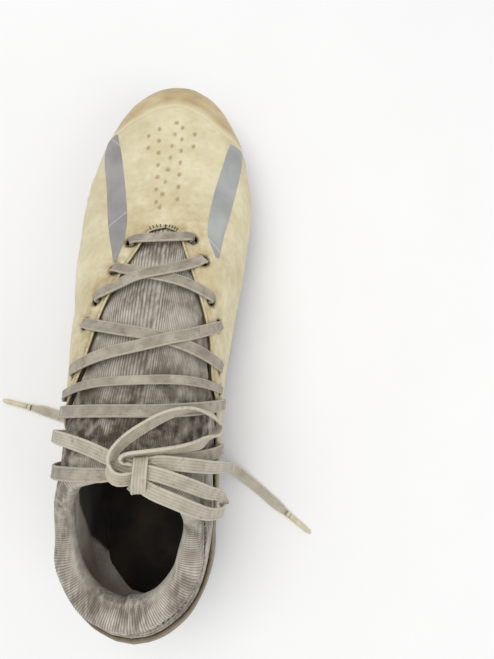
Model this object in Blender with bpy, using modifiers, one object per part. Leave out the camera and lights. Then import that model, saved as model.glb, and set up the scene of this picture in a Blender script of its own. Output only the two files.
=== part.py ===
"""A worn left soccer cleat: moulded plate with studs, thin coated upper over a knit sock, held and free laces.

Shapes are worked out in the shoe's own millimetres: y runs from the heel's back to the toe's tip, x towards the
inner (medial) side of a left foot, and z up from the ground. place() turns them into the world's metres.
"""

import math

import bmesh
import bpy
from mathutils import Matrix, Vector

MM = 0.001
MERGE_M = 0.00001

# Driving sizes, in millimetres
LENGTH = 280.0
HEEL_ROUND = 42.0
TOE_ROUND = 90.0
NOSE_ROUND = 46.0
CENTRE_X, CENTRE_Y = -3.6, 140.5
UNDERTURN_DEG = 38.0

SKIN = 1.2
OVERLAY, OVERLAY_GAP = 0.5, 0.5
GAP = 0.4
PLATE = 3.6
PLATE_DROP = 0.6
PLATE_LIP = 0.8
BOARD = 1.7
SOCKLINER = 3.5
KNIT_INSET, KNIT = 5.1, 1.5
EYESTAY_REACH = 0.138
EYESTAY_INSET, EYESTAY = 1.9, 0.5
COUNTER_INSET, COUNTER = 1.6, 1.4
PUFF_INSET, PUFF = 1.6, 0.8
VAMP_LINING_INSET, HEEL_LINING_INSET, LINING = 2.9, 7.2, 0.9
COLLAR_RADIUS = 6.0

FLEX_PIVOT = (0.0, 196.0, 11.2)
FLEX_REAR, FLEX_FRONT = 186.5, 205.5
PLATE_SPLIT = 1.2
HEEL_PIECE_Y = 60
SOCKLINER_PIVOT_Y = 192.0
BOARD_LIFT, BOARD_TRIM_REAR, BOARD_TRIM_FRONT = 0.2, 3.2, 3.8
SOCKLINER_LIFT, SOCKLINER_TRIM_REAR, SOCKLINER_TRIM_FRONT = 2.5, 6.5, 6.0
PLATE_BEVEL, STUD_BEVEL = 0.7, 0.8

STUD_ROOT, STUD_TIP = 7.0, 5.0
REAR_STUDS = {
    "ball_stud_lateral": (-30, 176),
    "ball_stud_medial": (25, 178),
    "heel_stud_front_lateral": (-21, 52),
    "heel_stud_front_medial": (17, 52),
    "heel_stud_back_lateral": (-15, 22),
    "heel_stud_back_medial": (12, 22),
}
FRONT_STUDS = {
    "toe_stud_lateral": (-13, 257),
    "toe_stud_medial": (9, 258),
    "middle_stud_lateral": (-26, 236),
    "middle_stud_medial": (20, 238),
    "side_stud_lateral": (-31, 213),
    "side_stud_medial": (25, 215),
}

LACE_WIDTH, LACE_THICK = 5.2, 1.3
LACE_BUNCHED = 3.0
NEAR_HOLE = 5.5
LACE_STEP = 4.0
EYELET_RADIUS = 3.1
LACE_ABOVE, LACE_BELOW = 1.5, -3.8
CROSSING_RISE = 2.1
CORD_RADIUS = 1.6
AGLET_RADIUS, AGLET_LENGTH = 1.7, 16.0

# Where each eyelet sits: y, and how far round the shoe it is from the ridge (0) to the sole's edge (1)
EYELETS = {
    "lateral": [(177.4, 0.105), (163.2, 0.16), (148.9, 0.235), (138, 0.295), (117.1, 0.355), (106.5, 0.44),
                (99.4, 0.58), (74.5, 0.72)],
    "medial": [(181, 0.118), (170.4, 0.203), (152.3, 0.31), (141.9, 0.42), (123, 0.52), (113, 0.57), (107.5, 0.69),
               (86, 0.70)],
}


def smooth(*knots):
    """A smooth function through (place, value) knots."""
    xs = [float(k[0]) for k in knots]
    vs = [float(k[1]) for k in knots]
    slopes = [(vs[i + 1] - vs[i]) / (xs[i + 1] - xs[i]) for i in range(len(xs) - 1)]
    tangents = [slopes[0]]
    for i in range(1, len(slopes)):
        before, after = xs[i] - xs[i - 1], xs[i + 1] - xs[i]
        tangents.append((slopes[i - 1] * after + slopes[i] * before) / (before + after))
    tangents.append(slopes[-1])

    def value(at):
        at = min(max(at, xs[0]), xs[-1])
        i = max(j for j in range(len(slopes)) if xs[j] <= at)
        h = xs[i + 1] - xs[i]
        s = (at - xs[i]) / h
        return (
            (2 * s**3 - 3 * s**2 + 1) * vs[i]
            + (s**3 - 2 * s**2 + s) * h * tangents[i]
            + (3 * s**2 - 2 * s**3) * vs[i + 1]
            + (s**3 - s**2) * h * tangents[i + 1]
        )

    return value


# The last that the upper is pulled over, as curves along y
MEDIAL = smooth((0, 29), (40, 31.5), (80, 31), (115, 31.5), (150, 35), (180, 38.5), (205, 40.5), (230, 40.5),
                (280, 37))
LATERAL = smooth((0, 34), (40, 36), (80, 38.5), (115, 40.5), (150, 44.5), (180, 47), (205, 47.5), (230, 47),
                 (280, 46))
EQUATOR = smooth((0, 36), (60, 36), (120, 32), (180, 28), (230, 25), (280, 24))
FEATHER = smooth((0, 16), (60, 15.5), (150, 14.5), (215, 13.5), (250, 14.5), (280, 18))
CROWN = smooth((0, 110), (60, 108), (90, 101), (130, 89), (160, 77), (185, 66), (205, 59), (230, 52.5), (250, 48),
               (280, 42))
RIDGE = smooth((0, 0), (90, 3), (130, 4), (165, 3), (200, 1), (240, 0), (280, -3))
ACROSS_POWER, UP_POWER = 0.80, 0.90

# How far round from the ridge the coated skin's upper edge runs
SKIN_TOP = {
    "lateral": smooth((0, 0.575), (20, 0.60), (45, 0.655), (70, 0.67), (86, 0.62), (98, 0.49), (108, 0.365),
                      (118, 0.29),
                      (128, 0.25), (141, 0.21), (161, 0.125), (176, 0.05), (186, 0.006)),
    "medial": smooth((0, 0.575), (20, 0.60), (45, 0.655), (70, 0.665), (86, 0.635), (98, 0.61), (108, 0.55),
                     (117, 0.46),
                     (126, 0.41), (134, 0.37), (143, 0.30), (164, 0.15), (178, 0.05), (186, 0.006)),
}
SIDE_SIGN = {"lateral": -1, "medial": 1}

# The collar's padded roll: where its outer side touches the last, as y and height, from the back forward
COLLAR_RIM = [(8, 71), (28, 69.5), (46, 69), (60, 73), (70, 84), (76.5, 94)]
COLLAR_FRONT_Y = 81.5
COLLAR_SINK = 0.9

COLLAR_UNDERSIDE = smooth((0, 61), (11, 60.5), (30, 59), (45, 58), (60, 61), (70, 67), (80, 77))

# One pointed leaf a side: its middle as (x, y), and its half width there
LEAVES = {
    "lateral": ([(-18.5, 167), (-20.5, 184), (-25.5, 206), (-31.5, 228), (-35, 243)], [0.8, 4.2, 5.2, 5.2, 3.4]),
    "medial": ([(26, 173), (24.6, 186), (26.6, 206), (29.4, 226), (30.6, 240)], [0.8, 3.6, 5.0, 4.4, 3.0]),
}
TOE_FILM_STATIONS = [259, 264, 269, 273.5, 277, 279.2, 280]
TOE_ARCH = 20.0

# Free laces, as points the lace's middle passes through
KNOT = (7.6, 82, 107.4)
KNOT_HALF = (4.8, 6.0, 3.4)
BOW_LOOP_FORWARD = [
    (2.6, 88.6, 107.8), (8, 89.6, 107.4), (14, 90.4, 105), (20.5, 91.2, 99.2), (26.5, 92.4, 89), (31, 95.2, 76),
    (31.8, 99.4, 72), (28.4, 103.2, 81.5), (22, 104.8, 93.4), (14.5, 102.8, 100.2), (7, 98.2, 103.8),
    (0.5, 92.8, 106.4), (-3, 87.4, 108.2), (-2.6, 82.8, 109), (0.4, 80.6, 109.3),
]
BOW_LOOP_MEDIAL = [
    (13.4, 82.8, 107.9), (19.6, 80.4, 103.8), (25.8, 76.8, 95), (30.4, 72.8, 82), (33.2, 69.4, 66), (34.6, 66, 54.5),
    (35.2, 62.4, 51.6), (34.8, 60.6, 56), (33, 62, 68), (29.8, 65.4, 84), (25.6, 69.6, 97), (19.6, 73.6, 105),
    (13, 76.8, 108.6),
]
LACE_END_LATERAL = [
    (1.6, 85, 104.9), (-5, 87.2, 104.2), (-13, 89.6, 101.5), (-21, 91, 96.7), (-29, 91.4, 88.2), (-35, 91, 77),
    (-39.8, 90, 64), (-42.6, 89, 50), (-43.6, 88.4, 36), (-44.4, 89, 22), (-47, 91, 9), (-53, 93, 3),
    (-61, 95, 1.8), (-70, 97.4, 1.7), (-78, 99, 1.7),
]
LACE_END_MEDIAL = [
    (13.4, 86.4, 105), (19, 85.8, 101.6), (25.5, 84.4, 93.6), (30.5, 82.4, 80.6), (33.8, 80.6, 65), (35.2, 78.6, 50),
    (35.6, 77, 36), (36.2, 75, 22), (39.6, 71.5, 9), (45.6, 66.6, 3), (53, 61, 1.8), (62, 54, 1.7), (68, 49.6, 1.7),
]

REAR_STATIONS = [0, 1.5, 5, 11, 20, 31, 44, 60, 76, 91, 104, 117, 130, 144, 158, 172, 186]
FRONT_STATIONS = [206, 216, 227, 238, 248, 257, 265, 271.5, 276, 278.8, 280]


def ends(y):
    """How much of its full width the shoe has at y: rounded in at the heel and at the toe."""
    back = min(max((HEEL_ROUND - y) / HEEL_ROUND, 0), 1)
    front = min(max((y - LENGTH + TOE_ROUND) / TOE_ROUND, 0), 1)
    return math.sqrt(1 - back**2.3) * math.sqrt(1 - front**2.35)


def nose(y):
    front = min(max((y - LENGTH + NOSE_ROUND) / NOSE_ROUND, 0), 1)
    return math.sqrt(1 - front**2.6)


def heel_lean(z):
    """The heel's back is rearmost at the counter's middle and leans forward above and below it."""
    above, below = min(max(z - 36, 0), 60), min(max(36 - z, 0), 20)
    return 0.011 * (above**2 + below**2)


def half_width(y, v):
    return (MEDIAL(y) - RIDGE(y) if v >= 0 else LATERAL(y) + RIDGE(y)) * ends(y)


def surface(y, v):
    """A point of the upper's outer surface: v is -1 at the lateral sole edge, 0 on the ridge, 1 at the medial."""
    angle = abs(v) * math.radians(90 + UNDERTURN_DEG)
    x = RIDGE(y) + math.copysign(half_width(y, v) * math.sin(angle) ** ACROSS_POWER, v)
    level = math.cos(angle)
    if level >= 0:
        z = EQUATOR(y) + (CROWN(y) - EQUATOR(y)) * nose(y) * level**UP_POWER
    else:
        z = EQUATOR(y) + (EQUATOR(y) - FEATHER(y)) * level / math.sin(math.radians(UNDERTURN_DEG))
    return Vector((x, y + heel_lean(z) * math.exp(-((y / 38) ** 2)), z))


def round_at_x(y, x):
    """The v, above the widest line, at which the surface passes x."""
    reach = min(abs(x - RIDGE(y)) / half_width(y, x - RIDGE(y)), 1)
    return math.copysign(math.asin(reach ** (1 / ACROSS_POWER)) / math.radians(90 + UNDERTURN_DEG), x - RIDGE(y))


def round_at_height(y, z):
    """The v on either side, above the widest line, at which the surface passes z."""
    level = min(max((z - EQUATOR(y)) / ((CROWN(y) - EQUATOR(y)) * nose(y)), 0), 1)
    return math.acos(level ** (1 / UP_POWER)) / math.radians(90 + UNDERTURN_DEG)


def outward(y, v):
    """The surface's outward direction."""
    step_y, step_v = 0.5, 0.004
    along = surface(y + step_y, v) - surface(y - step_y, v)
    around = surface(y, v + step_v) - surface(y, v - step_v)
    return around.cross(along).normalized()


def place(point):
    """Shoe millimetres to world metres."""
    return Vector(((point[0] - CENTRE_X) * MM, (point[1] - CENTRE_Y) * MM, point[2] * MM))


def between(low, high, count):
    return [low + (high - low) * i / (count - 1) for i in range(count)]


# Blender helpers

COLLECTIONS = {}


def collection(name):
    if name not in COLLECTIONS:
        COLLECTIONS[name] = bpy.data.collections.new(name)
        bpy.context.scene.collection.children.link(COLLECTIONS[name])
    return COLLECTIONS[name]


def material(name, colour, roughness):
    made = bpy.data.materials.get(name) or bpy.data.materials.new(name)
    made.use_nodes = True
    made.diffuse_color = (*colour, 1)
    shader = made.node_tree.nodes["Principled BSDF"]
    shader.inputs["Base Color"].default_value = (*colour, 1)
    shader.inputs["Roughness"].default_value = roughness
    shader.inputs["Metallic"].default_value = 0.0
    return made


def add_object(name, data, finish, group="soccer_cleat"):
    made = bpy.data.objects.new(name, data)
    if finish:
        data.materials.append(finish)
    collection(group).objects.link(made)
    return made


def mesh_object(name, bm, finish, group="soccer_cleat"):
    mesh = bpy.data.meshes.new(name)
    bm.to_mesh(mesh)
    bm.free()
    return add_object(name, mesh, finish, group)


def hang_on(piece, pivot):
    """Parents a moving piece to the empty on its joint's axis, and leaves it where it is."""
    piece.parent = pivot
    piece.matrix_parent_inverse = Matrix.Translation(-pivot.location)


def solidify(piece, thickness):
    shell = piece.modifiers.new("thickness", "SOLIDIFY")
    shell.thickness = thickness * MM
    shell.offset = -1
    shell.use_even_offset = True
    shell.use_quality_normals = True


def bevel(piece, width, angle_deg=40):
    edge = piece.modifiers.new("edge", "BEVEL")
    edge.width = width * MM
    edge.segments = 1
    edge.limit_method = "ANGLE"
    edge.angle_limit = math.radians(angle_deg)


def sheet(rows, facing_up=False):
    """An open grid of quads through rows of points in shoe millimetres, facing up or away from the middle."""
    bm = bmesh.new()
    grid = [[bm.verts.new(place(p)) for p in row] for row in rows]
    for low, high in zip(grid, grid[1:]):
        for i in range(len(low) - 1):
            bm.faces.new((low[i], low[i + 1], high[i + 1], high[i]))
    bmesh.ops.remove_doubles(bm, verts=bm.verts, dist=MERGE_M)
    bm.normal_update()
    middle = place((RIDGE(140), 140, 34))
    facing = 0
    for face in bm.faces:
        centre = face.calc_center_median()
        away = Vector((0, 0, 1)) if facing_up else centre - Vector((middle.x, centre.y * 0.8, middle.z))
        facing += face.normal.dot(away) * face.calc_area()
    if facing < 0:
        bmesh.ops.reverse_faces(bm, faces=bm.faces)
        bm.normal_update()
    return bm


def shell(name, rows, inset, thickness, finish):
    """A layer of the upper: (y, v) rows on the last, moved in by inset and given its thickness inwards."""
    bm = sheet([[surface(y, v) for y, v in row] for row in rows])
    moves = [(vert, vert.normal * (-inset * MM)) for vert in bm.verts]
    for vert, move in moves:
        vert.co += move
    piece = mesh_object(name, bm, finish)
    solidify(piece, thickness)
    return piece


def drill(piece, cutter):
    hole = piece.modifiers.new("eyelets", "BOOLEAN")
    hole.operation = "DIFFERENCE"
    hole.object = cutter


def smooth_route(points, step, closed=False):
    """Points at about even steps along a Catmull-Rom curve through the given points."""
    pts = [Vector(p) for p in points]
    count = len(pts)
    if closed:
        pts = [pts[-1], *pts, pts[0], pts[1]]
    else:
        pts = [pts[0] * 2 - pts[1], *pts, pts[-1] * 2 - pts[-2]]
    fine = []
    for i in range(1, (count if closed else count - 1) + 1):
        p0, p1, p2, p3 = pts[i - 1 : i + 3]
        for k in range(24):
            t = k / 24
            fine.append(0.5 * (2 * p1 + (p2 - p0) * t + (2 * p0 - 5 * p1 + 4 * p2 - p3) * t**2
                               + (3 * p1 - p0 - 3 * p2 + p3) * t**3))
    fine.append(pts[-2])
    lengths = [0.0]
    for a, b in zip(fine, fine[1:]):
        lengths.append(lengths[-1] + (b - a).length)
    pieces = max(2, round(lengths[-1] / step))
    route, j = [], 0
    for k in range(pieces + 1):
        want = lengths[-1] * k / pieces
        while j < len(fine) - 2 and lengths[j + 1] < want:
            j += 1
        share = (want - lengths[j]) / max(lengths[j + 1] - lengths[j], 1e-9)
        route.append(fine[j].lerp(fine[j + 1], share))
    return route[:-1] if closed else route


def tube(name, points, radius, finish, step, closed=False, resolution=2):
    """A tube along a smooth route, as a bevelled curve."""
    curve = bpy.data.curves.new(name, "CURVE")
    curve.dimensions = "3D"
    curve.bevel_depth = radius * MM
    curve.bevel_resolution = resolution
    curve.use_fill_caps = not closed
    route = smooth_route(points, step, closed)
    spline = curve.splines.new("POLY")
    spline.points.add(len(route) - 1)
    for point, at in zip(spline.points, route):
        point.co = (*place(at), 1)
    spline.use_cyclic_u = closed
    return add_object(name, curve, finish)


# The bottom unit


def bottom_rows(stations, reach, trim, level):
    """Rows across the shoe at a height: half widths are reach of the widest, less trim."""
    rows = []
    for y in stations:
        medial = max(half_width(y, 1) * reach - trim * ends(y), 0)
        lateral = max(half_width(y, -1) * reach - trim * ends(y), 0)
        lean = heel_lean(FEATHER(y)) * math.exp(-((y / 38) ** 2))
        rows.append([(RIDGE(y) + (medial if s > 0 else lateral) * s, y + lean, level(y)) for s in between(-1, 1, 7)])
    return rows


SOLE_REACH = math.sin(math.radians(90 + UNDERTURN_DEG)) ** ACROSS_POWER


def plate(name, stations, finish):
    rows = bottom_rows(stations, SOLE_REACH, -PLATE_LIP, lambda y: FEATHER(y) - PLATE_DROP)
    piece = mesh_object(name, sheet(rows, facing_up=True), finish)
    solidify(piece, PLATE)
    bevel(piece, PLATE_BEVEL, 60)
    return piece


def stud(name, x, y, finish):
    under = min(FEATHER(y + d) for d in (-STUD_ROOT, 0, STUD_ROOT)) - PLATE_DROP - PLATE - GAP
    bm = bmesh.new()
    bmesh.ops.create_cone(bm, cap_ends=True, segments=12, radius1=STUD_TIP * MM, radius2=STUD_ROOT * MM,
                          depth=under * MM)
    piece = mesh_object(name, bm, finish)
    piece.location = place((x, y, under / 2))
    bevel(piece, STUD_BEVEL)
    return piece


def layer(name, stations, trim, bottom, thickness, finish):
    """A flat layer inside the shoe, from bottom up, above the sole's edge line."""
    rows = bottom_rows(stations, SOLE_REACH, trim, lambda y: FEATHER(y) + bottom + thickness)
    piece = mesh_object(name, sheet(rows, facing_up=True), finish)
    solidify(piece, thickness)
    return piece


# The upper's layers


def side_rows(side, stations, levels):
    """Rows of (y, v) on one side, with levels(side, y) giving the row's v values from the top down."""
    return [[(y, SIDE_SIGN[side] * v) for v in levels(side, y)] for y in stations]


def heel_rows(stations, levels):
    """Rows of (y, v) from the lateral side, round the heel's back, to the medial side."""
    lateral = side_rows("lateral", reversed(stations), levels)
    return lateral + side_rows("medial", stations, levels)[1:]


def skin_levels(side, y):
    top = SKIN_TOP[side](y)
    return [top, top + 0.045, top + 0.09, *between(top + EYESTAY_REACH, 1.0, 6)]


def eyestay_levels(side, y):
    top = SKIN_TOP[side](y)
    return [top + 0.006, top + 0.045, top + 0.09, top + EYESTAY_REACH]


def counter_levels(side, y):
    return between(SKIN_TOP[side](y) + 0.03, 0.97, 6)


def wrap_rows(stations, reach=1.0):
    steps = [0, 0.12, 0.25, 0.37, 0.49, 0.60, 0.70, 0.80, 0.90, 1.0]
    around = [-v for v in reversed(steps[1:])] + steps
    return [[(y, v * reach) for v in around] for y in stations]


def leaf(name, line, halves, finish, low_y, high_y):
    """A stretch of a pointed blade lying on the skin: its middle as (x, y) points, and its half width at each."""
    middle = smooth_route([(x, y, half) for (x, y), half in zip(line, halves)], 7.0)
    rows = []
    for at in middle:
        if low_y < at.y < high_y:
            rows.append([(at.y, round_at_x(at.y, at.x + at.z * s)) for s in (-1, -0.33, 0.33, 1)])
    return shell(name, rows, -(OVERLAY + OVERLAY_GAP), OVERLAY, finish)


def toe_film_rows():
    """The toe's wear film: from its arched rear edge forward and down to the sole."""
    rows = []
    for y in TOE_FILM_STATIONS:
        sweep = TOE_ARCH * (LENGTH - y) / (LENGTH - TOE_FILM_STATIONS[0])
        rows.append([(y - sweep * v**2, v) for v in between(-0.93, 0.93, 15)])
    return rows


def flank_band(name, side, finish):
    """A low band along the side, narrowing towards both ends."""
    rows = []
    for y in between(96, 172, 9):
        half = 0.055 * math.sin(math.pi * (y - 88) / 92)
        rows.append([(y, SIDE_SIGN[side] * (0.80 + half * s)) for s in (-1, 0, 1)])
    return shell(name, rows, -(OVERLAY + OVERLAY_GAP), OVERLAY, finish)


def tongue_reach(y):
    """How far round the tongue goes, tucked under the skin's edge."""
    return min(max(SKIN_TOP["lateral"](y), SKIN_TOP["medial"](y)) + 0.10, 0.44)


def collar_route():
    """The middle of the collar's roll: from the back round the lateral side, the front and the medial side."""
    inside = COLLAR_RADIUS + COLLAR_SINK
    front = surface(COLLAR_FRONT_Y, 0) - outward(COLLAR_FRONT_Y, 0) * inside
    sides = {}
    for side, sign in SIDE_SIGN.items():
        places = [(y, sign * round_at_height(y, z)) for y, z in COLLAR_RIM]
        sides[side] = [surface(*at) - outward(*at) * inside for at in places]
    back_height = COLLAR_RIM[0][1]
    back = Vector((RIDGE(0), heel_lean(back_height) + inside, back_height - COLLAR_RADIUS / 2))
    return [back, *sides["lateral"], front, *reversed(sides["medial"])]


def knit_top(y):
    """The ankle knit's upper edge: the collar's underside, and further forward the tongue's edge."""
    return max(round_at_height(y, COLLAR_UNDERSIDE(y)), 0.455)


def knit_levels(side, y):
    low = min(SKIN_TOP[side](y) + 0.13, 0.80) if y > 90 else 0.78
    return between(knit_top(y), low, 7)


def lining_levels(side, y):
    return between(knit_top(y) + 0.03, 0.80, 6)


def eyelet_cutter(side):
    bm = bmesh.new()
    for y, v in EYELETS[side]:
        v *= SIDE_SIGN[side]
        facing = outward(y, v)
        turn = facing.to_track_quat("Z", "Y").to_matrix().to_4x4()
        at = Matrix.Translation(place(surface(y, v) - facing * SKIN)) @ turn
        bmesh.ops.create_cone(bm, cap_ends=True, segments=12, radius1=EYELET_RADIUS * MM,
                              radius2=EYELET_RADIUS * MM, depth=5 * MM, matrix=at)
    cutter = mesh_object("eyelet_cutter_" + side, bm, None, "cutters")
    cutter.hide_render = True
    cutter.display_type = "WIRE"
    return cutter


# The laces


def crossing(first, second):
    """Where two straight runs over the last cross, as a share of the first; each is two (y, v) places."""
    (a, b), (c, d) = ([Vector(at) for at in run] for run in (first, second))
    mine, other, apart = b - a, d - c, c - a
    return (apart.x * other.y - apart.y * other.x) / (mine.x * other.y - mine.y * other.x)


def eyelet(side, number):
    y, v = EYELETS[side][number - 1]
    return y, v * SIDE_SIGN[side]


def run_points(start, stop, lift, hump=None):
    """A lace's run over the surface between two (y, v) places, short of both, as (point, facing, half sizes)."""
    a, b = surface(*start), surface(*stop)
    length = (b - a).length
    count = max(2, round((length - 2 * NEAR_HOLE) / 7))
    found = []
    for place_along in [NEAR_HOLE / 2, *between(NEAR_HOLE, length - NEAR_HOLE, count), length - NEAR_HOLE / 2]:
        t = place_along / length
        y = start[0] + (stop[0] - start[0]) * t
        v = start[1] + (stop[1] - start[1]) * t
        facing = outward(y, v)
        rise = lift
        if hump is not None:
            rise += CROSSING_RISE * math.exp(-(((t - hump) * length / 8) ** 2))
        width = LACE_WIDTH if lift > 0 else LACE_BUNCHED + 1
        if min(t, 1 - t) * length < NEAR_HOLE - 0.1:
            width = LACE_BUNCHED
        found.append((surface(y, v) + facing * rise, facing, width / 2, LACE_THICK / 2))
    return found


def hole_points(at, inwards):
    facing = outward(*at)
    lifts = (0.7, -0.6, -1.9, -3.1) if inwards else (-3.1, -1.9, -0.6, 0.7)
    return [(surface(*at) + facing * lift, facing, LACE_BUNCHED / 2, LACE_BUNCHED / 2.3) for lift in lifts]


def ribbon(name, stations, finish):
    """A flat closed lace through stations of (point, facing, half width, half thickness)."""
    route = smooth_route([s[0] for s in stations], LACE_STEP)
    middles = [s[0] for s in stations]
    bm = bmesh.new()
    rings = []
    nearest = 0
    for i, point in enumerate(route):
        window = range(nearest, min(nearest + 4, len(middles) - 1))
        nearest = min(window, key=lambda k: distance_to(point, middles[k], middles[k + 1])[0])
        _, share = distance_to(point, middles[nearest], middles[nearest + 1])
        low, high = stations[nearest], stations[nearest + 1]
        facing = low[1].lerp(high[1], share)
        half_wide = low[2] + (high[2] - low[2]) * share
        half_thick = low[3] + (high[3] - low[3]) * share
        along = (route[min(i + 1, len(route) - 1)] - route[max(i - 1, 0)]).normalized()
        level = route[min(i + 3, len(route) - 1)] - route[max(i - 3, 0)]
        across = level.cross(facing).normalized()
        across = (across - along * across.dot(along)).normalized()
        up = across.cross(along)
        ring = []
        for k in range(8):
            angle = math.radians(45 * k + 22.5)
            offset = across * (math.cos(angle) * half_wide * 1.08) + up * (math.sin(angle) * half_thick * 1.08)
            ring.append(bm.verts.new(place(point + offset)))
        rings.append(ring)
    for ring, after in zip(rings, rings[1:]):
        for k in range(8):
            bm.faces.new((ring[k], ring[(k + 1) % 8], after[(k + 1) % 8], after[k]))
    bm.faces.new(reversed(rings[0]))
    bm.faces.new(rings[-1])
    bmesh.ops.recalc_face_normals(bm, faces=bm.faces)
    return mesh_object(name, bm, finish)


def distance_to(point, a, b):
    side = b - a
    share = min(max((point - a).dot(side) / max(side.length_squared, 1e-9), 0), 1)
    return (point - a.lerp(b, share)).length, share


def held_lace(finish):
    """One lace, from the knot's lateral side through every eyelet to the knot's medial side."""
    order = [
        ("lateral", 8), ("lateral", 7), ("medial", 7), ("medial", 5), ("lateral", 4), ("lateral", 3), ("medial", 2),
        ("medial", 1), ("lateral", 1), ("lateral", 2), ("medial", 3), ("medial", 4), ("lateral", 5), ("lateral", 6),
        ("medial", 6), ("medial", 8),
    ]
    over = {(("lateral", 3), ("medial", 2)): (("lateral", 2), ("medial", 3)),
            (("medial", 4), ("lateral", 5)): (("medial", 5), ("lateral", 4))}
    stations = []
    first = eyelet(*order[0])
    start = (KNOT[1] - 1.5, round_at_x(KNOT[1] - 1.5, KNOT[0] - KNOT_HALF[0] - 3.5))
    facing = outward(*start)
    stations.append((surface(*start) + facing * LACE_ABOVE, facing, LACE_WIDTH / 2, LACE_THICK / 2))
    stations += run_points(start, first, LACE_ABOVE)
    for i, (here, after) in enumerate(zip(order, order[1:])):
        goes_under = i % 2 == 0
        stations += hole_points(eyelet(*here), goes_under)
        hump = None
        if (here, after) in over:
            hump = crossing([eyelet(*here), eyelet(*after)], [eyelet(*at) for at in over[(here, after)]])
        stations += run_points(eyelet(*here), eyelet(*after), LACE_BELOW if goes_under else LACE_ABOVE, hump)
    last = eyelet(*order[-1])
    stations += hole_points(last, False)
    stop = (KNOT[1] + 4.5, round_at_x(KNOT[1] + 4.5, KNOT[0] + KNOT_HALF[0] + 1.5))
    stations += run_points(last, stop, LACE_ABOVE)
    facing = outward(*stop)
    stations.append((surface(*stop) + facing * LACE_ABOVE, facing, LACE_WIDTH / 2, LACE_THICK / 2))
    return ribbon("lace_through_eyelets", stations, finish)


def knot(finish):
    bm = bmesh.new()
    size = Matrix.Diagonal((KNOT_HALF[0] * MM, KNOT_HALF[1] * MM, KNOT_HALF[2] * MM, 1))
    bmesh.ops.create_uvsphere(bm, u_segments=12, v_segments=8, radius=1, matrix=size)
    piece = mesh_object("bow_knot", bm, finish)
    piece.location = place(KNOT)
    return piece


def aglet(name, points, finish):
    end, before = Vector(points[-1]), Vector(points[-2])
    along = (end - before).normalized()
    bm = bmesh.new()
    bmesh.ops.create_cone(bm, cap_ends=True, segments=12, radius1=AGLET_RADIUS * MM, radius2=AGLET_RADIUS * 0.8 * MM,
                          depth=AGLET_LENGTH * MM)
    piece = mesh_object(name, bm, finish)
    piece.location = place(end + along * (AGLET_LENGTH / 2 + 0.3))
    piece.rotation_mode = "QUATERNION"
    piece.rotation_quaternion = along.to_track_quat("Z", "Y")
    return piece


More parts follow.
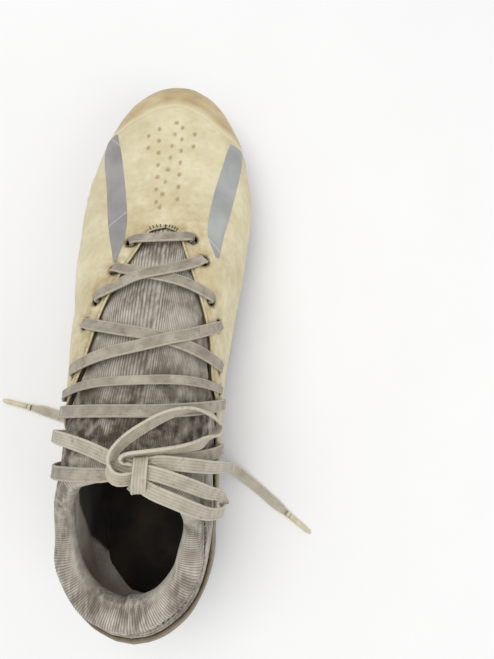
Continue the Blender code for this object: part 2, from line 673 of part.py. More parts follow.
def build():
    for old in list(bpy.data.objects):
        bpy.data.objects.remove(old)

    ivory = material("coated_skin", (0.74, 0.66, 0.43), 0.5)
    grey_blue = material("printed_blade", (0.36, 0.39, 0.45), 0.45)
    tan = material("toe_film", (0.55, 0.43, 0.24), 0.45)
    knit = material("rib_knit", (0.30, 0.27, 0.235), 0.95)
    lining_cloth = material("lining_cloth", (0.27, 0.245, 0.21), 0.95)
    black_plastic = material("plate_plastic", (0.035, 0.035, 0.04), 0.4)
    smoke_plastic = material("stud_plastic", (0.22, 0.25, 0.29), 0.35)
    board = material("insole_board", (0.45, 0.38, 0.28), 0.9)
    foam = material("sockliner_foam", (0.05, 0.04, 0.035), 0.9)
    stiffener = material("stiffener_sheet", (0.62, 0.60, 0.55), 0.6)
    tape = material("eyestay_tape", (0.50, 0.46, 0.36), 0.8)
    lace_cloth = material("lace_cloth", (0.42, 0.37, 0.30), 0.95)
    aglet_film = material("aglet_film", (0.66, 0.62, 0.48), 0.35)

    toe_pivot = bpy.data.objects.new("toe_flex_axis", None)
    toe_pivot.location = place(FLEX_PIVOT)
    collection("soccer_cleat").objects.link(toe_pivot)
    sockliner_pivot = bpy.data.objects.new("sockliner_lift_axis", None)
    sockliner_pivot.location = place((0, SOCKLINER_PIVOT_Y, FEATHER(SOCKLINER_PIVOT_Y) + SOCKLINER_LIFT))
    collection("soccer_cleat").objects.link(sockliner_pivot)

    split = FLEX_PIVOT[1]
    rear = [y for y in REAR_STATIONS if y < 180] + [186, split - PLATE_SPLIT / 2]
    front = [split + PLATE_SPLIT / 2, *FRONT_STATIONS]

    # Rear half: plate, studs, board
    plate("outsole_plate_rear", rear, black_plastic)
    for name, (x, y) in REAR_STUDS.items():
        stud(name, x, y, smoke_plastic)
    layer("insole_board_rear", [y for y in rear if y > 6], BOARD_TRIM_REAR, BOARD_LIFT, BOARD, board)

    # Rear half: skin, reinforcement and stiffener
    heel_stations = [y for y in REAR_STATIONS if y <= HEEL_PIECE_Y]
    quarter_stations = [HEEL_PIECE_Y + GAP, *[y for y in REAR_STATIONS if y > HEEL_PIECE_Y]]
    eyestay_stations = [y for y in REAR_STATIONS if 85 < y < 180]
    for side in SIDE_SIGN:
        cutter = eyelet_cutter(side)
        skin = shell("quarter_" + side, side_rows(side, quarter_stations, skin_levels), 0, SKIN, ivory)
        rows = side_rows(side, eyestay_stations, eyestay_levels)
        strip = shell("eyestay_" + side, rows, EYESTAY_INSET, EYESTAY, tape)
        drill(skin, cutter)
        drill(strip, cutter)
        flank_band("flank_band_" + side, side, grey_blue)
    shell("heel_skin", heel_rows(heel_stations, skin_levels), 0, SKIN, ivory)
    counter_stations = [y for y in REAR_STATIONS if y <= HEEL_PIECE_Y]
    shell("heel_counter", heel_rows(counter_stations, counter_levels), COUNTER_INSET, COUNTER, stiffener)

    # Rear half: the knit sock with its padded collar, and the lining
    tongue_stations = [95, 104, 117, 130, 144, 158, 172, 185]
    rows = [[(y, v) for v in between(-tongue_reach(y), tongue_reach(y), 13)] for y in tongue_stations]
    shell("knit_tongue", rows, KNIT_INSET, KNIT, knit)
    ankle_stations = [y for y in REAR_STATIONS if y <= 117]
    shell("ankle_knit", heel_rows(ankle_stations, knit_levels), KNIT_INSET, KNIT, knit)
    lining_stations = [y for y in REAR_STATIONS if y <= 91]
    shell("heel_lining", heel_rows(lining_stations, lining_levels), HEEL_LINING_INSET, LINING, lining_cloth)
    tube("collar_roll", collar_route(), COLLAR_RADIUS, knit, 8.0, closed=True)

    # Front half, on the flex axis: plate, studs, board, skin, puff and lining
    moving = [plate("outsole_plate_front", front, black_plastic)]
    for name, (x, y) in FRONT_STUDS.items():
        moving.append(stud(name, x, y, smoke_plastic))
    board_front = [FLEX_PIVOT[1] + 2.2, *[y for y in FRONT_STATIONS if y < 273]]
    moving.append(layer("insole_board_front", board_front, BOARD_TRIM_FRONT, BOARD_LIFT, BOARD, board))
    moving.append(shell("toe_vamp", wrap_rows(FRONT_STATIONS), 0, SKIN, ivory))
    puff_rows = wrap_rows([y for y in FRONT_STATIONS if y > 236], 0.92)
    moving.append(shell("toe_puff", puff_rows, PUFF_INSET, PUFF, stiffener))
    vamp_rows = wrap_rows(FRONT_STATIONS, 0.90)
    moving.append(shell("vamp_lining", vamp_rows, VAMP_LINING_INSET, LINING, lining_cloth))
    moving.append(shell("toe_cap_film", toe_film_rows(), -(OVERLAY + OVERLAY_GAP), OVERLAY, tan))
    for side, (line, halves) in LEAVES.items():
        moving.append(leaf("leaf_front_" + side, line, halves, grey_blue, FLEX_FRONT + 1, LENGTH))
        leaf("leaf_rear_" + side, line, halves, grey_blue, 0, FLEX_REAR - 1)
    sockliner_front = [SOCKLINER_PIVOT_Y + 4, *[y for y in FRONT_STATIONS if y < 270]]
    moving.append(layer("sockliner_front", sockliner_front, SOCKLINER_TRIM_FRONT, SOCKLINER_LIFT, SOCKLINER, foam))
    for piece in moving:
        hang_on(piece, toe_pivot)
    sockliner_heel = [y for y in REAR_STATIONS if 8 < y < 180] + [SOCKLINER_PIVOT_Y - 4]
    lifting = layer("sockliner_rear", sockliner_heel, SOCKLINER_TRIM_REAR, SOCKLINER_LIFT, SOCKLINER, foam)
    hang_on(lifting, sockliner_pivot)

    # The panel of skin that creases between the halves
    shell("vamp_flex_panel", wrap_rows(between(FLEX_REAR, FLEX_FRONT, 3)), 0, SKIN, ivory)

    # Laces
    held_lace(lace_cloth)
    knot(lace_cloth)
    tube("bow_loop_forward", BOW_LOOP_FORWARD, CORD_RADIUS, lace_cloth, 4.5)
    tube("bow_loop_medial", BOW_LOOP_MEDIAL, CORD_RADIUS, lace_cloth, 4.5)
    tube("lace_end_lateral", LACE_END_LATERAL, CORD_RADIUS, lace_cloth, 6.0)
    tube("lace_end_medial", LACE_END_MEDIAL, CORD_RADIUS, lace_cloth, 6.0)
    aglet("aglet_lateral", LACE_END_LATERAL, aglet_film)
    aglet("aglet_medial", LACE_END_MEDIAL, aglet_film)


if __name__ == "__main__":
    build()
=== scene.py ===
"""Looks of the worn left soccer cleat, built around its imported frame.

Shapes are worked out in the shoe's own millimetres, as in the part: y runs from the heel's back to the toe's
tip, x towards the inner (medial) side, and z up from the ground. v runs round the upper: -1 at the lateral sole
edge, 0 on the ridge, 1 at the medial edge. to_world() turns shoe millimetres into the frame's metres.
"""

import math
from functools import reduce

import bpy
import numpy as np
from mathutils import Matrix, Vector


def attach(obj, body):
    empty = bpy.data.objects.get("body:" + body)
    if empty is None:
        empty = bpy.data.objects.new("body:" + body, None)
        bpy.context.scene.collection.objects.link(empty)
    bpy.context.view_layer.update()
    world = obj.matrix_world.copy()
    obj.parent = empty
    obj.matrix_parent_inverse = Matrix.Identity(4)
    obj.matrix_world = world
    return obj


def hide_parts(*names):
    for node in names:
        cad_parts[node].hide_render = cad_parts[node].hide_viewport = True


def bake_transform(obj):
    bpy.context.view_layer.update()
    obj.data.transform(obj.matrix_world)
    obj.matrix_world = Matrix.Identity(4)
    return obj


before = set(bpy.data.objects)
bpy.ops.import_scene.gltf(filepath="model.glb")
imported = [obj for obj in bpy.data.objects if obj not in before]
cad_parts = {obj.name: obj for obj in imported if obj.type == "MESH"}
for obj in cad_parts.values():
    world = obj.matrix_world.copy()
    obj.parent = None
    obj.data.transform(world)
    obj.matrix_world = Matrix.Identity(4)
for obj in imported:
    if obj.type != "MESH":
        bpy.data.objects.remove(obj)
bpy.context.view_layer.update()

MM = 0.001
CENTRE_X, CENTRE_Y = -3.6, 140.5

# The last, as in the part
LENGTH, HEEL_ROUND, TOE_ROUND, NOSE_ROUND = 280.0, 42.0, 90.0, 46.0
UNDERTURN = math.radians(38)
TURN = math.radians(90) + UNDERTURN
ACROSS_POWER, UP_POWER = 0.80, 0.90
SIDE_SIGN = {"lateral": -1, "medial": 1}
MM_PER_V = 115
THROAT_TIP_Y = 186.5

# Places that patches face away from
INSIDE, FOREFOOT_INSIDE, SOLE_MIDDLE = (2, 100, 30), (-2, 230, 22), (0, 140, 20)
FAR_BELOW, FAR_ABOVE = (0, 140, -400), (0, 140, 400)

SKIN = 1.0
FILM_LIFT = 0.24
RIB_V = 0.0102
EYELET_RADIUS = 2.5
LACE_WIDTH, LACE_THICK = 5.2, 1.3
# Widths where a lace goes under the skin and where it nears an eyelet, and how near that is
LACE_BUNCHED, LACE_AT_HOLE, NEAR_HOLE = 3.9, 4.5, 5.5
# Heights over the last: on the skin, under it, and on the way up through an eyelet
LACE_ABOVE, LACE_BELOW, UP_THROUGH = 1.5, -3.8, (-3.1, -1.9, -0.6, 0.7)
CROSSING_RISE = 2.1
END_NARROWED = 0.62
COLLAR_RADIUS, COLLAR_SINK, COLLAR_FRONT_Y = 6.0, 0.9, 81.5
PLATE_DROP, PLATE, PLATE_LIP = 0.6, 3.6, 0.8

# Places as (y, v), from the toe up
EYELETS = {
    "lateral": [(177.4, 0.105), (163.2, 0.16), (148.9, 0.235), (138, 0.295), (117.1, 0.355), (106.5, 0.44),
                (99.4, 0.58), (74.5, 0.72)],
    "medial": [(181, 0.118), (170.4, 0.203), (152.3, 0.31), (141.9, 0.42), (123, 0.52), (113, 0.57),
               (107.5, 0.69), (86, 0.70)],
}
# The collar's rim on either side, as (y, z)
COLLAR_RIM = [(8, 71), (28, 69.5), (46, 69), (60, 73), (70, 84), (76.5, 94)]
# The printed blades: (x, y, 0, half the width)
LEAVES = {
    "lateral": [(-18.5, 167, 0, 0.8), (-20.5, 184, 0, 4.2), (-25.5, 206, 0, 5.2), (-31.5, 228, 0, 5.2),
                (-35, 243, 0, 3.4)],
    "medial": [(26, 173, 0, 0.8), (24.6, 186, 0, 3.6), (26.6, 206, 0, 5.0), (29.4, 226, 0, 4.4),
               (30.6, 240, 0, 3.0)],
}
# Places as (x, y)
STUDS = {
    "ball_stud_lateral": (-30, 176), "ball_stud_medial": (25, 178),
    "heel_stud_front_lateral": (-21, 52), "heel_stud_front_medial": (17, 52),
    "heel_stud_back_lateral": (-15, 22), "heel_stud_back_medial": (12, 22),
    "toe_stud_lateral": (-13, 257), "toe_stud_medial": (9, 258),
    "middle_stud_lateral": (-26, 236), "middle_stud_medial": (20, 238),
    "side_stud_lateral": (-31, 213), "side_stud_medial": (25, 215),
}

# The bow's knot, and the free laces' routes, as the points that their middles pass through
KNOT = (7.6, 82, 107.4)
BOW_LOOP_FORWARD = [
    (2.6, 88.6, 107.8), (8, 89.6, 107.4), (14, 90.4, 105), (20.5, 91.2, 99.2), (26.5, 92.4, 89), (31, 95.2, 76),
    (31.8, 99.4, 72), (28.4, 103.2, 81.5), (22, 104.8, 93.4), (14.5, 102.8, 100.2), (7, 98.2, 103.8),
    (0.5, 92.8, 106.4), (-3, 87.4, 108.2), (-2.6, 82.8, 109), (0.4, 80.6, 109.3),
]
BOW_LOOP_MEDIAL = [
    (13.4, 82.8, 107.9), (19.6, 80.4, 103.8), (25.8, 76.8, 95), (30.4, 72.8, 82), (33.2, 69.4, 66),
    (34.6, 66, 54.5), (35.2, 62.4, 51.6), (34.8, 60.6, 56), (33, 62, 68), (29.8, 65.4, 84), (25.6, 69.6, 97),
    (19.6, 73.6, 105), (13, 76.8, 108.6),
]
LACE_END_LATERAL = [
    (1.6, 85, 104.9), (-5, 87.2, 104.2), (-13, 89.6, 101.5), (-21, 91, 96.7), (-29, 91.4, 88.2), (-35, 91, 77),
    (-39.8, 90, 64), (-42.6, 89, 50), (-43.6, 88.4, 36), (-44.4, 89, 22), (-47, 91, 9), (-53, 93, 3),
    (-61, 95, 1.8), (-70, 97.4, 1.7), (-78, 99, 1.7),
]
LACE_END_MEDIAL = [
    (13.4, 86.4, 105), (19, 85.8, 101.6), (25.5, 84.4, 93.6), (30.5, 82.4, 80.6), (33.8, 80.6, 65),
    (35.2, 78.6, 50), (35.6, 77, 36), (36.2, 75, 22), (39.6, 71.5, 9), (45.6, 66.6, 3), (53, 61, 1.8),
    (62, 54, 1.7), (68, 49.6, 1.7),
]
# Each free lace: its route, where it goes on into the knot before and after that, and the direction across it
# at shares of its length
FREE_LACES = {
    "bow_loop_forward": (
        BOW_LOOP_FORWARD, ([(5.0, 84.6, 105.8), (1.4, 85.5, 106.4), (0.9, 87.4, 107.2)], [(5.6, 81.0, 107.8)]),
        [(0, (0.2, 0.35, 0.9)), (0.3, (-0.25, 0.3, 0.9)), (0.5, (0.6, -0.6, 0.5)), (0.75, (0.1, 0.9, 0.5)),
         (1, (0.1, 0.9, 0.4))]),
    "bow_loop_medial": (
        BOW_LOOP_MEDIAL, ([(8.6, 83.6, 107.9)], [(8.6, 78.6, 107.4)]),
        [(0, (0.3, 0.95, 0.1)), (0.4, (0.3, 0.95, 0.1)), (0.55, (0.2, 0.95, 0.0)), (1, (0.3, 0.95, 0.1))]),
    "lace_end_lateral": (
        LACE_END_LATERAL, ([(6.0, 84.0, 105.4)], []), [(0, (0.0, 1.0, 0.0)), (1, (0.2, 1.0, 0.0))]),
    "lace_end_medial": (
        LACE_END_MEDIAL, ([(9.0, 85.4, 105.6)], []),
        [(0, (0.15, 1.0, 0.0)), (0.6, (0.1, 1.0, 0)), (1, (0.6, 0.8, 0))]),
}
# The lace's way through the eyelets, and the two runs that rise over another
LACING = [
    ("lateral", 8), ("lateral", 7), ("medial", 7), ("medial", 5), ("lateral", 4), ("lateral", 3),
    ("medial", 2), ("medial", 1), ("lateral", 1), ("lateral", 2), ("medial", 3), ("medial", 4),
    ("lateral", 5), ("lateral", 6), ("medial", 6), ("medial", 8),
]
RISES_OVER = {(("lateral", 3), ("medial", 2)): (("lateral", 2), ("medial", 3)),
              (("medial", 4), ("lateral", 5)): (("medial", 5), ("lateral", 4))}
SLACK_RUN = ("lateral", 6), ("medial", 6)
# The aglet's profile: (place along it, radius)
AGLET = [(-0.6, 1.75), (0.1, 1.9), (0.9, 1.7), (1.6, 1.42), (3.0, 1.5), (7.0, 1.42), (11.5, 1.38), (14.2, 1.3),
         (15.4, 1.05), (16.0, 0.6), (16.2, 0.05)]

# The vamp's punched dimples: columns of (first x, first y, last x, last y, how many)
DIMPLE_COLUMNS = [
    (0.1, 247.4, -2.4, 196.7, 8), (-8.3, 242.9, -4.7, 199.5, 7), (3.3, 244.5, 5.3, 201.5, 7),
    (9.8, 241.1, 9.8, 233.5, 2), (-13.3, 238.5, -12.7, 231.3, 2),
]

# The photograph's camera, in metres, and the light
CAMERA_AT, CAMERA_LENS = (0.0466, -0.0305, 0.283), 27.04
CAMERA_TURN, CAMERA_TILT = math.radians(3), math.radians(8)
ROOM_LIGHT = 0.53
# Each lamp's place, size and power
LAMPS = {"overhead": ((-0.15, 0.15, 1.1), 0.9, 6.0), "side": ((0.8, -0.5, 0.7), 0.7, 2.2)}


def smooth(*knots):
    """A smooth function of an array, through (place, value) knots."""
    xs, vs = np.array(knots, float).T
    steps = np.diff(xs)
    slopes = np.diff(vs) / steps
    inner = (slopes[:-1] * steps[1:] + slopes[1:] * steps[:-1]) / (steps[:-1] + steps[1:])
    tangents = np.concatenate([slopes[:1], inner, slopes[-1:]])

    def value(at):
        at = np.clip(at, xs[0], xs[-1])
        i = np.clip(np.searchsorted(xs, at, side="right") - 1, 0, len(slopes) - 1)
        h = steps[i]
        s = (at - xs[i]) / h
        return (
            (2 * s**3 - 3 * s**2 + 1) * vs[i]
            + (s**3 - 2 * s**2 + s) * h * tangents[i]
            + (3 * s**2 - 2 * s**3) * vs[i + 1]
            + (s**3 - s**2) * h * tangents[i + 1]
        )

    return value


MEDIAL = smooth((0, 29), (40, 31.5), (80, 31), (115, 31.5), (150, 35), (180, 38.5), (205, 40.5), (230, 40.5),
                (280, 37))
LATERAL = smooth((0, 34), (40, 36), (80, 38.5), (115, 40.5), (150, 44.5), (180, 47), (205, 47.5), (230, 47),
                 (280, 46))
EQUATOR = smooth((0, 36), (60, 36), (120, 32), (180, 28), (230, 25), (280, 24))
FEATHER = smooth((0, 16), (60, 15.5), (150, 14.5), (215, 13.5), (250, 14.5), (280, 18))
CROWN = smooth((0, 110), (60, 108), (90, 101), (130, 89), (160, 77), (185, 66), (205, 59), (230, 52.5),
               (250, 48), (280, 42))
RIDGE = smooth((0, 0), (90, 3), (130, 4), (165, 3), (200, 1), (240, 0), (280, -3))
SKIN_TOP = {
    "lateral": smooth((0, 0.575), (20, 0.60), (45, 0.655), (70, 0.67), (86, 0.62), (98, 0.49), (108, 0.365),
                      (118, 0.29), (128, 0.25), (141, 0.21), (161, 0.135), (174, 0.082), (181, 0.058),
                      (184.6, 0.036), (186.3, 0.004)),
    "medial": smooth((0, 0.575), (20, 0.60), (45, 0.655), (70, 0.665), (86, 0.635), (98, 0.61), (108, 0.55),
                     (117, 0.46), (126, 0.41), (134, 0.37), (143, 0.30), (162, 0.165), (175, 0.092),
                     (181, 0.066), (184.6, 0.042), (186.3, 0.004)),
}
SOLE_REACH = math.sin(TURN) ** ACROSS_POWER


def step(low, high, value):
    """0 below low, 1 above high, and smooth between."""
    t = np.clip((np.asarray(value, float) - low) / (high - low), 0, 1)
    return t * t * (3 - 2 * t)


def bell(value, middle, width):
    return np.exp(-(((value - middle) / width) ** 2))


def ends(y):
    """The share of the full width at y: less where the heel and toe are rounded."""
    back = np.clip((HEEL_ROUND - y) / HEEL_ROUND, 0, 1)
    front = np.clip((y - LENGTH + TOE_ROUND) / TOE_ROUND, 0, 1)
    return np.sqrt(1 - back**2.3) * np.sqrt(1 - front**2.35)


def nose(y):
    return np.sqrt(1 - np.clip((y - LENGTH + NOSE_ROUND) / NOSE_ROUND, 0, 1) ** 2.6)


def heel_lean(z):
    return 0.011 * (np.clip(z - 36, 0, 60) ** 2 + np.clip(36 - z, 0, 20) ** 2)


def half_width(y, v):
    return np.where(np.asarray(v) >= 0, MEDIAL(y) - RIDGE(y), LATERAL(y) + RIDGE(y)) * ends(y)


def surface(y, v):
    """Points of the upper's outer surface."""
    y, v = np.broadcast_arrays(np.asarray(y, float), np.asarray(v, float))
    angle = np.abs(v) * TURN
    x = RIDGE(y) + np.sign(v) * half_width(y, v) * np.clip(np.sin(angle), 0, 1) ** ACROSS_POWER
    level = np.cos(angle)
    above = EQUATOR(y) + (CROWN(y) - EQUATOR(y)) * nose(y) * np.clip(level, 0, 1) ** UP_POWER
    below = EQUATOR(y) + (EQUATOR(y) - FEATHER(y)) * level / math.sin(UNDERTURN)
    z = np.where(level >= 0, above, below)
    return np.stack([x, y + lean_at(y, z), z], -1)


def outward(y, v):
    along = surface(np.asarray(y) + 0.5, v) - surface(np.asarray(y) - 0.5, v)
    around = surface(y, np.asarray(v) + 0.004) - surface(y, np.asarray(v) - 0.004)
    return unit(np.cross(around, along))


def unit(vectors):
    return vectors / np.maximum(np.linalg.norm(vectors, axis=-1, keepdims=True), 1e-12)


def round_at_x(y, x):
    """The v, above the widest line, at which the surface passes x."""
    reach = np.clip(np.abs(x - RIDGE(y)) / half_width(y, x - RIDGE(y)), 0, 1)
    return np.copysign(np.arcsin(reach ** (1 / ACROSS_POWER)) / TURN, x - RIDGE(y))


def round_at_height(y, z):
    level = np.clip((z - EQUATOR(y)) / ((CROWN(y) - EQUATOR(y)) * nose(y)), 0, 1)
    return np.arccos(level ** (1 / UP_POWER)) / TURN


def skin_top(y, v):
    return np.where(np.asarray(v) >= 0, SKIN_TOP["medial"](y), SKIN_TOP["lateral"](y))


def lean_at(y, z):
    """How far forward of y the heel's back leans at z."""
    return heel_lean(z) * np.exp(-((y / 38) ** 2))


def to_world(points):
    return (np.asarray(points, float) - (CENTRE_X, CENTRE_Y, 0)) * MM


def ripple(points, size, seed):
    """Smooth unevenness between about -1 and 1, with waves of about the given size in millimetres."""
    chance = np.random.default_rng(seed)
    total = np.zeros(len(points))
    for _ in range(7):
        direction = unit(chance.normal(size=3)) * math.tau / (size * chance.uniform(0.7, 1.5))
        total += np.sin(points @ direction + chance.uniform(0, 6.3))
    return total / 3.2


def nearest(points, places):
    """How far each point is from the nearest of some places."""
    found = np.full(len(points), 1e9)
    for place in places:
        found = np.minimum(found, np.linalg.norm(points - place, axis=1))
    return found


def lengths_along(route):
    return np.concatenate([[0], np.cumsum(np.linalg.norm(np.diff(route, axis=0), axis=1))])


def smooth_route(points, pace, closed=False):
    """Points at about even steps along a Catmull-Rom curve through points of any number of columns."""
    pts = np.asarray(points, float)
    if closed:
        pts = np.concatenate([pts[-1:], pts, pts[:2]])
    else:
        pts = np.concatenate([[2 * pts[0] - pts[1]], pts, [2 * pts[-1] - pts[-2]]])
    fine = []
    for p0, p1, p2, p3 in zip(pts, pts[1:], pts[2:], pts[3:]):
        for t in np.arange(24) / 24:
            fine.append(0.5 * (2 * p1 + (p2 - p0) * t + (2 * p0 - 5 * p1 + 4 * p2 - p3) * t**2
                               + (3 * p1 - p0 - 3 * p2 + p3) * t**3))
    fine = np.array([*fine, pts[-2]])
    lengths = lengths_along(fine[:, :3])
    count = max(2, round(lengths[-1] / pace))
    want = np.linspace(0, lengths[-1], count + 1)
    route = np.stack([np.interp(want, lengths, fine[:, k]) for k in range(fine.shape[1])], 1)
    return route[:-1] if closed else route


class Patch:
    """A mesh in the making, in shoe millimetres, with one value a point for each of its fields."""

    def __init__(self, points, faces, fields):
        self.points, self.faces, self.fields = points, faces, fields

    @classmethod
    def grid(cls, points, round_rows=False, round_columns=False, **fields):
        """Quads through rows and columns of points; a field is an array of the same rows and columns."""
        rows, columns = points.shape[:2]
        index = np.arange(rows * columns).reshape(rows, columns)
        if round_rows:
            index = np.concatenate([index, index[:1]])
        if round_columns:
            index = np.concatenate([index, index[:, :1]], 1)
        faces = np.stack([index[:-1, :-1], index[:-1, 1:], index[1:, 1:], index[1:, :-1]], -1).reshape(-1, 4)
        flat = {k: np.broadcast_to(f, (rows, columns)).ravel().astype(float) for k, f in fields.items()}
        return cls(points.reshape(-1, 3).astype(float), faces, flat)

    def at(self, chosen, faces):
        """The chosen points, with faces already numbered as they are in the choice."""
        return Patch(self.points[chosen], faces, {k: f[chosen] for k, f in self.fields.items()})

    def joined(self, other):
        fields = {k: np.concatenate([f, other.fields[k]]) for k, f in self.fields.items()}
        faces = np.concatenate([self.faces, other.faces + len(self.points)])
        return Patch(np.concatenate([self.points, other.points]), faces, fields)

    def welded(self, within=0.02):
        """Points this close made one; a quad that loses a side holds its first corner twice."""
        rounded = np.round(self.points / within)
        _, first, index = np.unique(rounded, axis=0, return_index=True, return_inverse=True)
        return self.at(first, index.reshape(-1)[self.faces]).tidied()

    def tidied(self):
        """Without faces that have fewer than three corners left, or points that no face uses."""
        corners = np.sort(self.faces, axis=1)
        different = 1 + (np.diff(corners, axis=1) != 0).sum(axis=1)
        faces = self.faces[different >= 3]
        used = np.unique(faces)
        renumber = np.zeros(len(self.points), int)
        renumber[used] = np.arange(len(used))
        return self.at(used, renumber[faces])

    def without(self, points_gone):
        """Without the faces whose corners are all gone."""
        return Patch(self.points, self.faces[~points_gone[self.faces].all(axis=1)], self.fields).tidied()

    def reversed(self):
        return Patch(self.points, self.faces[:, ::-1], self.fields)

    def face_normals(self):
        p = self.points[self.faces]
        return np.cross(p[:, 2] - p[:, 0], p[:, 3] - p[:, 1])

    def facing(self, middle):
        """Turned, if need be, so that its faces look away from the middle."""
        away = self.points[self.faces].mean(axis=1) - middle
        return self if (self.face_normals() * away).sum() > 0 else self.reversed()

    def normals(self):
        total = np.zeros_like(self.points)
        for corner in range(4):
            np.add.at(total, self.faces[:, corner], self.face_normals())
        return unit(total)

    def pushed(self, distance):
        moved = self.points + self.normals() * np.broadcast_to(distance, len(self.points))[:, None]
        return Patch(moved, self.faces, self.fields)

    def thickened(self, depth):
        """Closed, with an inner side this far in and a rim between the two."""
        inner = self.points - self.normals() * depth
        count = len(self.points)
        edges = np.concatenate([self.faces[:, [k, (k + 1) % 4]] for k in range(4)])
        edges = edges[edges[:, 0] != edges[:, 1]]
        _, where, times = np.unique(np.sort(edges, axis=1), axis=0, return_inverse=True, return_counts=True)
        start, stop = edges[times[where.reshape(-1)] == 1].T
        rim = np.stack([stop, start, start + count, stop + count], 1)
        faces = np.concatenate([self.faces, self.faces[:, ::-1] + count, rim])
        fields = {k: np.concatenate([f, f]) for k, f in self.fields.items()}
        return Patch(np.concatenate([self.points, inner]), faces, fields)

    def build(self, name, finish):
        """The Blender object. Its rest attribute holds where each point is with every joint at rest."""
        mesh = bpy.data.meshes.new(name)
        places = to_world(self.points)
        faces = [list(dict.fromkeys(face)) for face in self.faces.tolist()]
        mesh.from_pydata(places.tolist(), [], faces)
        mesh.polygons.foreach_set("use_smooth", np.ones(len(mesh.polygons), bool))
        rest = mesh.attributes.new("rest", "FLOAT_VECTOR", "POINT")
        rest.data.foreach_set("vector", places.astype(np.float32).ravel())
        for key, values in self.fields.items():
            kept = mesh.attributes.new(key, "FLOAT", "POINT")
            kept.data.foreach_set("value", values.astype(np.float32))
        mesh.materials.append(finish)
        made = bpy.data.objects.new(name, mesh)
        bpy.context.scene.collection.objects.link(made)
        return made


def bend_with_toe(piece):
    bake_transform(piece)


# Materials


def tint(red, green, blue):
    """A colour as it looks on a screen, 0 to 255, as the shader's linear colour."""
    linear = [c / 255 / 12.92 if c <= 10 else ((c / 255 + 0.055) / 1.055) ** 2.4 for c in (red, green, blue)]
    return (*linear, 1.0)


class Finish:
    """A procedural material in the making.

    Its patterns lie in the rest position, so they stay put when it bends. Colours are given as they look on a
    screen, 0 to 255, and sizes and depths in millimetres.
    """

    def __init__(self, name, roughness, on_frame=False, **values):
        self.material = bpy.data.materials.new(name)
        self.material.use_nodes = True
        self.tree = self.material.node_tree
        self.shader = self.tree.nodes["Principled BSDF"]
        self.shader.inputs["Roughness"].default_value = roughness
        for key, value in values.items():
            self.shader.inputs[key.replace("_", " ")].default_value = value
        if on_frame:
            self.rest = self.node("ShaderNodeTexCoord").outputs["Object"]
        else:
            self.rest = self.node("ShaderNodeAttribute", attribute_name="rest").outputs["Vector"]
        self.colour = self.relief = None

    def node(self, kind, inputs=(), **settings):
        made = self.tree.nodes.new(kind)
        for key, value in settings.items():
            setattr(made, key, value)
        for key, value in dict(inputs).items():
            if isinstance(value, bpy.types.NodeSocket):
                self.tree.links.new(value, made.inputs[key])
            else:
                made.inputs[key].default_value = value
        return made

    def field(self, key):
        return self.node("ShaderNodeAttribute", attribute_name=key).outputs["Fac"]

    def at(self, size, stretch):
        """The place in a pattern whose marks are about size wide, times the stretch."""
        scale = [1 / (size * MM * s) for s in stretch]
        return self.node("ShaderNodeMapping", {"Vector": self.rest, "Scale": scale}).outputs["Vector"]

    def noise(self, size, detail=3.0, stretch=(1, 1, 1), rough=0.5):
        """Cloudy noise from 0 to 1."""
        inputs = {"Vector": self.at(size, stretch), "Scale": 1.0, "Detail": detail, "Roughness": rough}
        return self.node("ShaderNodeTexNoise", inputs).outputs["Fac"]

    def cells(self, size, stretch=(1, 1, 1)):
        """The distance to the nearest of scattered points, about size apart."""
        inputs = {"Vector": self.at(size, stretch), "Scale": 1.0}
        return self.node("ShaderNodeTexVoronoi", inputs).outputs["Distance"]

    def math(self, operation, first, second=0.0):
        return self.node("ShaderNodeMath", {0: first, 1: second}, operation=operation).outputs[0]

    def times(self, first, second):
        return self.math("MULTIPLY", first, second)

    def waves(self, along, pitch):
        """Waves from 0 to 1, one for each pitch along."""
        return self.spread(self.math("SINE", self.times(along, math.tau / pitch)), -1, 1)

    def spread(self, value, low, high, to_low=0.0, to_high=1.0):
        """The value's range low to high, made to_low to to_high and held there outside it."""
        inputs = {"Value": value, "From Min": low, "From Max": high, "To Min": to_low, "To Max": to_high}
        return self.node("ShaderNodeMapRange", inputs).outputs["Result"]

    def clouds(self, size, detail, low, high, to_low=0.0, to_high=1.0, **looks):
        return self.spread(self.noise(size, detail, **looks), low, high, to_low, to_high)

    def mix(self, share, first, second):
        made = self.node("ShaderNodeMix", {0: share}, data_type="RGBA")
        for socket, value in ((made.inputs[6], first), (made.inputs[7], second)):
            if isinstance(value, bpy.types.NodeSocket):
                self.tree.links.new(value, socket)
            else:
                socket.default_value = tint(*value)
        return made.outputs[2]

    def base(self, share, first, second):
        self.colour = self.mix(share, first, second)

    def over(self, share, colour):
        """Lays a share of a colour over what is there."""
        self.colour = self.mix(share, self.colour, colour)

    def bump(self, height, depth):
        """Adds relief of this depth over what is there."""
        inputs = {"Height": height, "Distance": depth * MM, "Strength": 1.0}
        if self.relief:
            inputs["Normal"] = self.relief
        self.relief = self.node("ShaderNodeBump", inputs).outputs["Normal"]

    def done(self, roughness=None):
        for key, value in (("Base Color", self.colour), ("Roughness", roughness), ("Normal", self.relief)):
            if value:
                self.tree.links.new(value, self.shader.inputs[key])
        return self.material


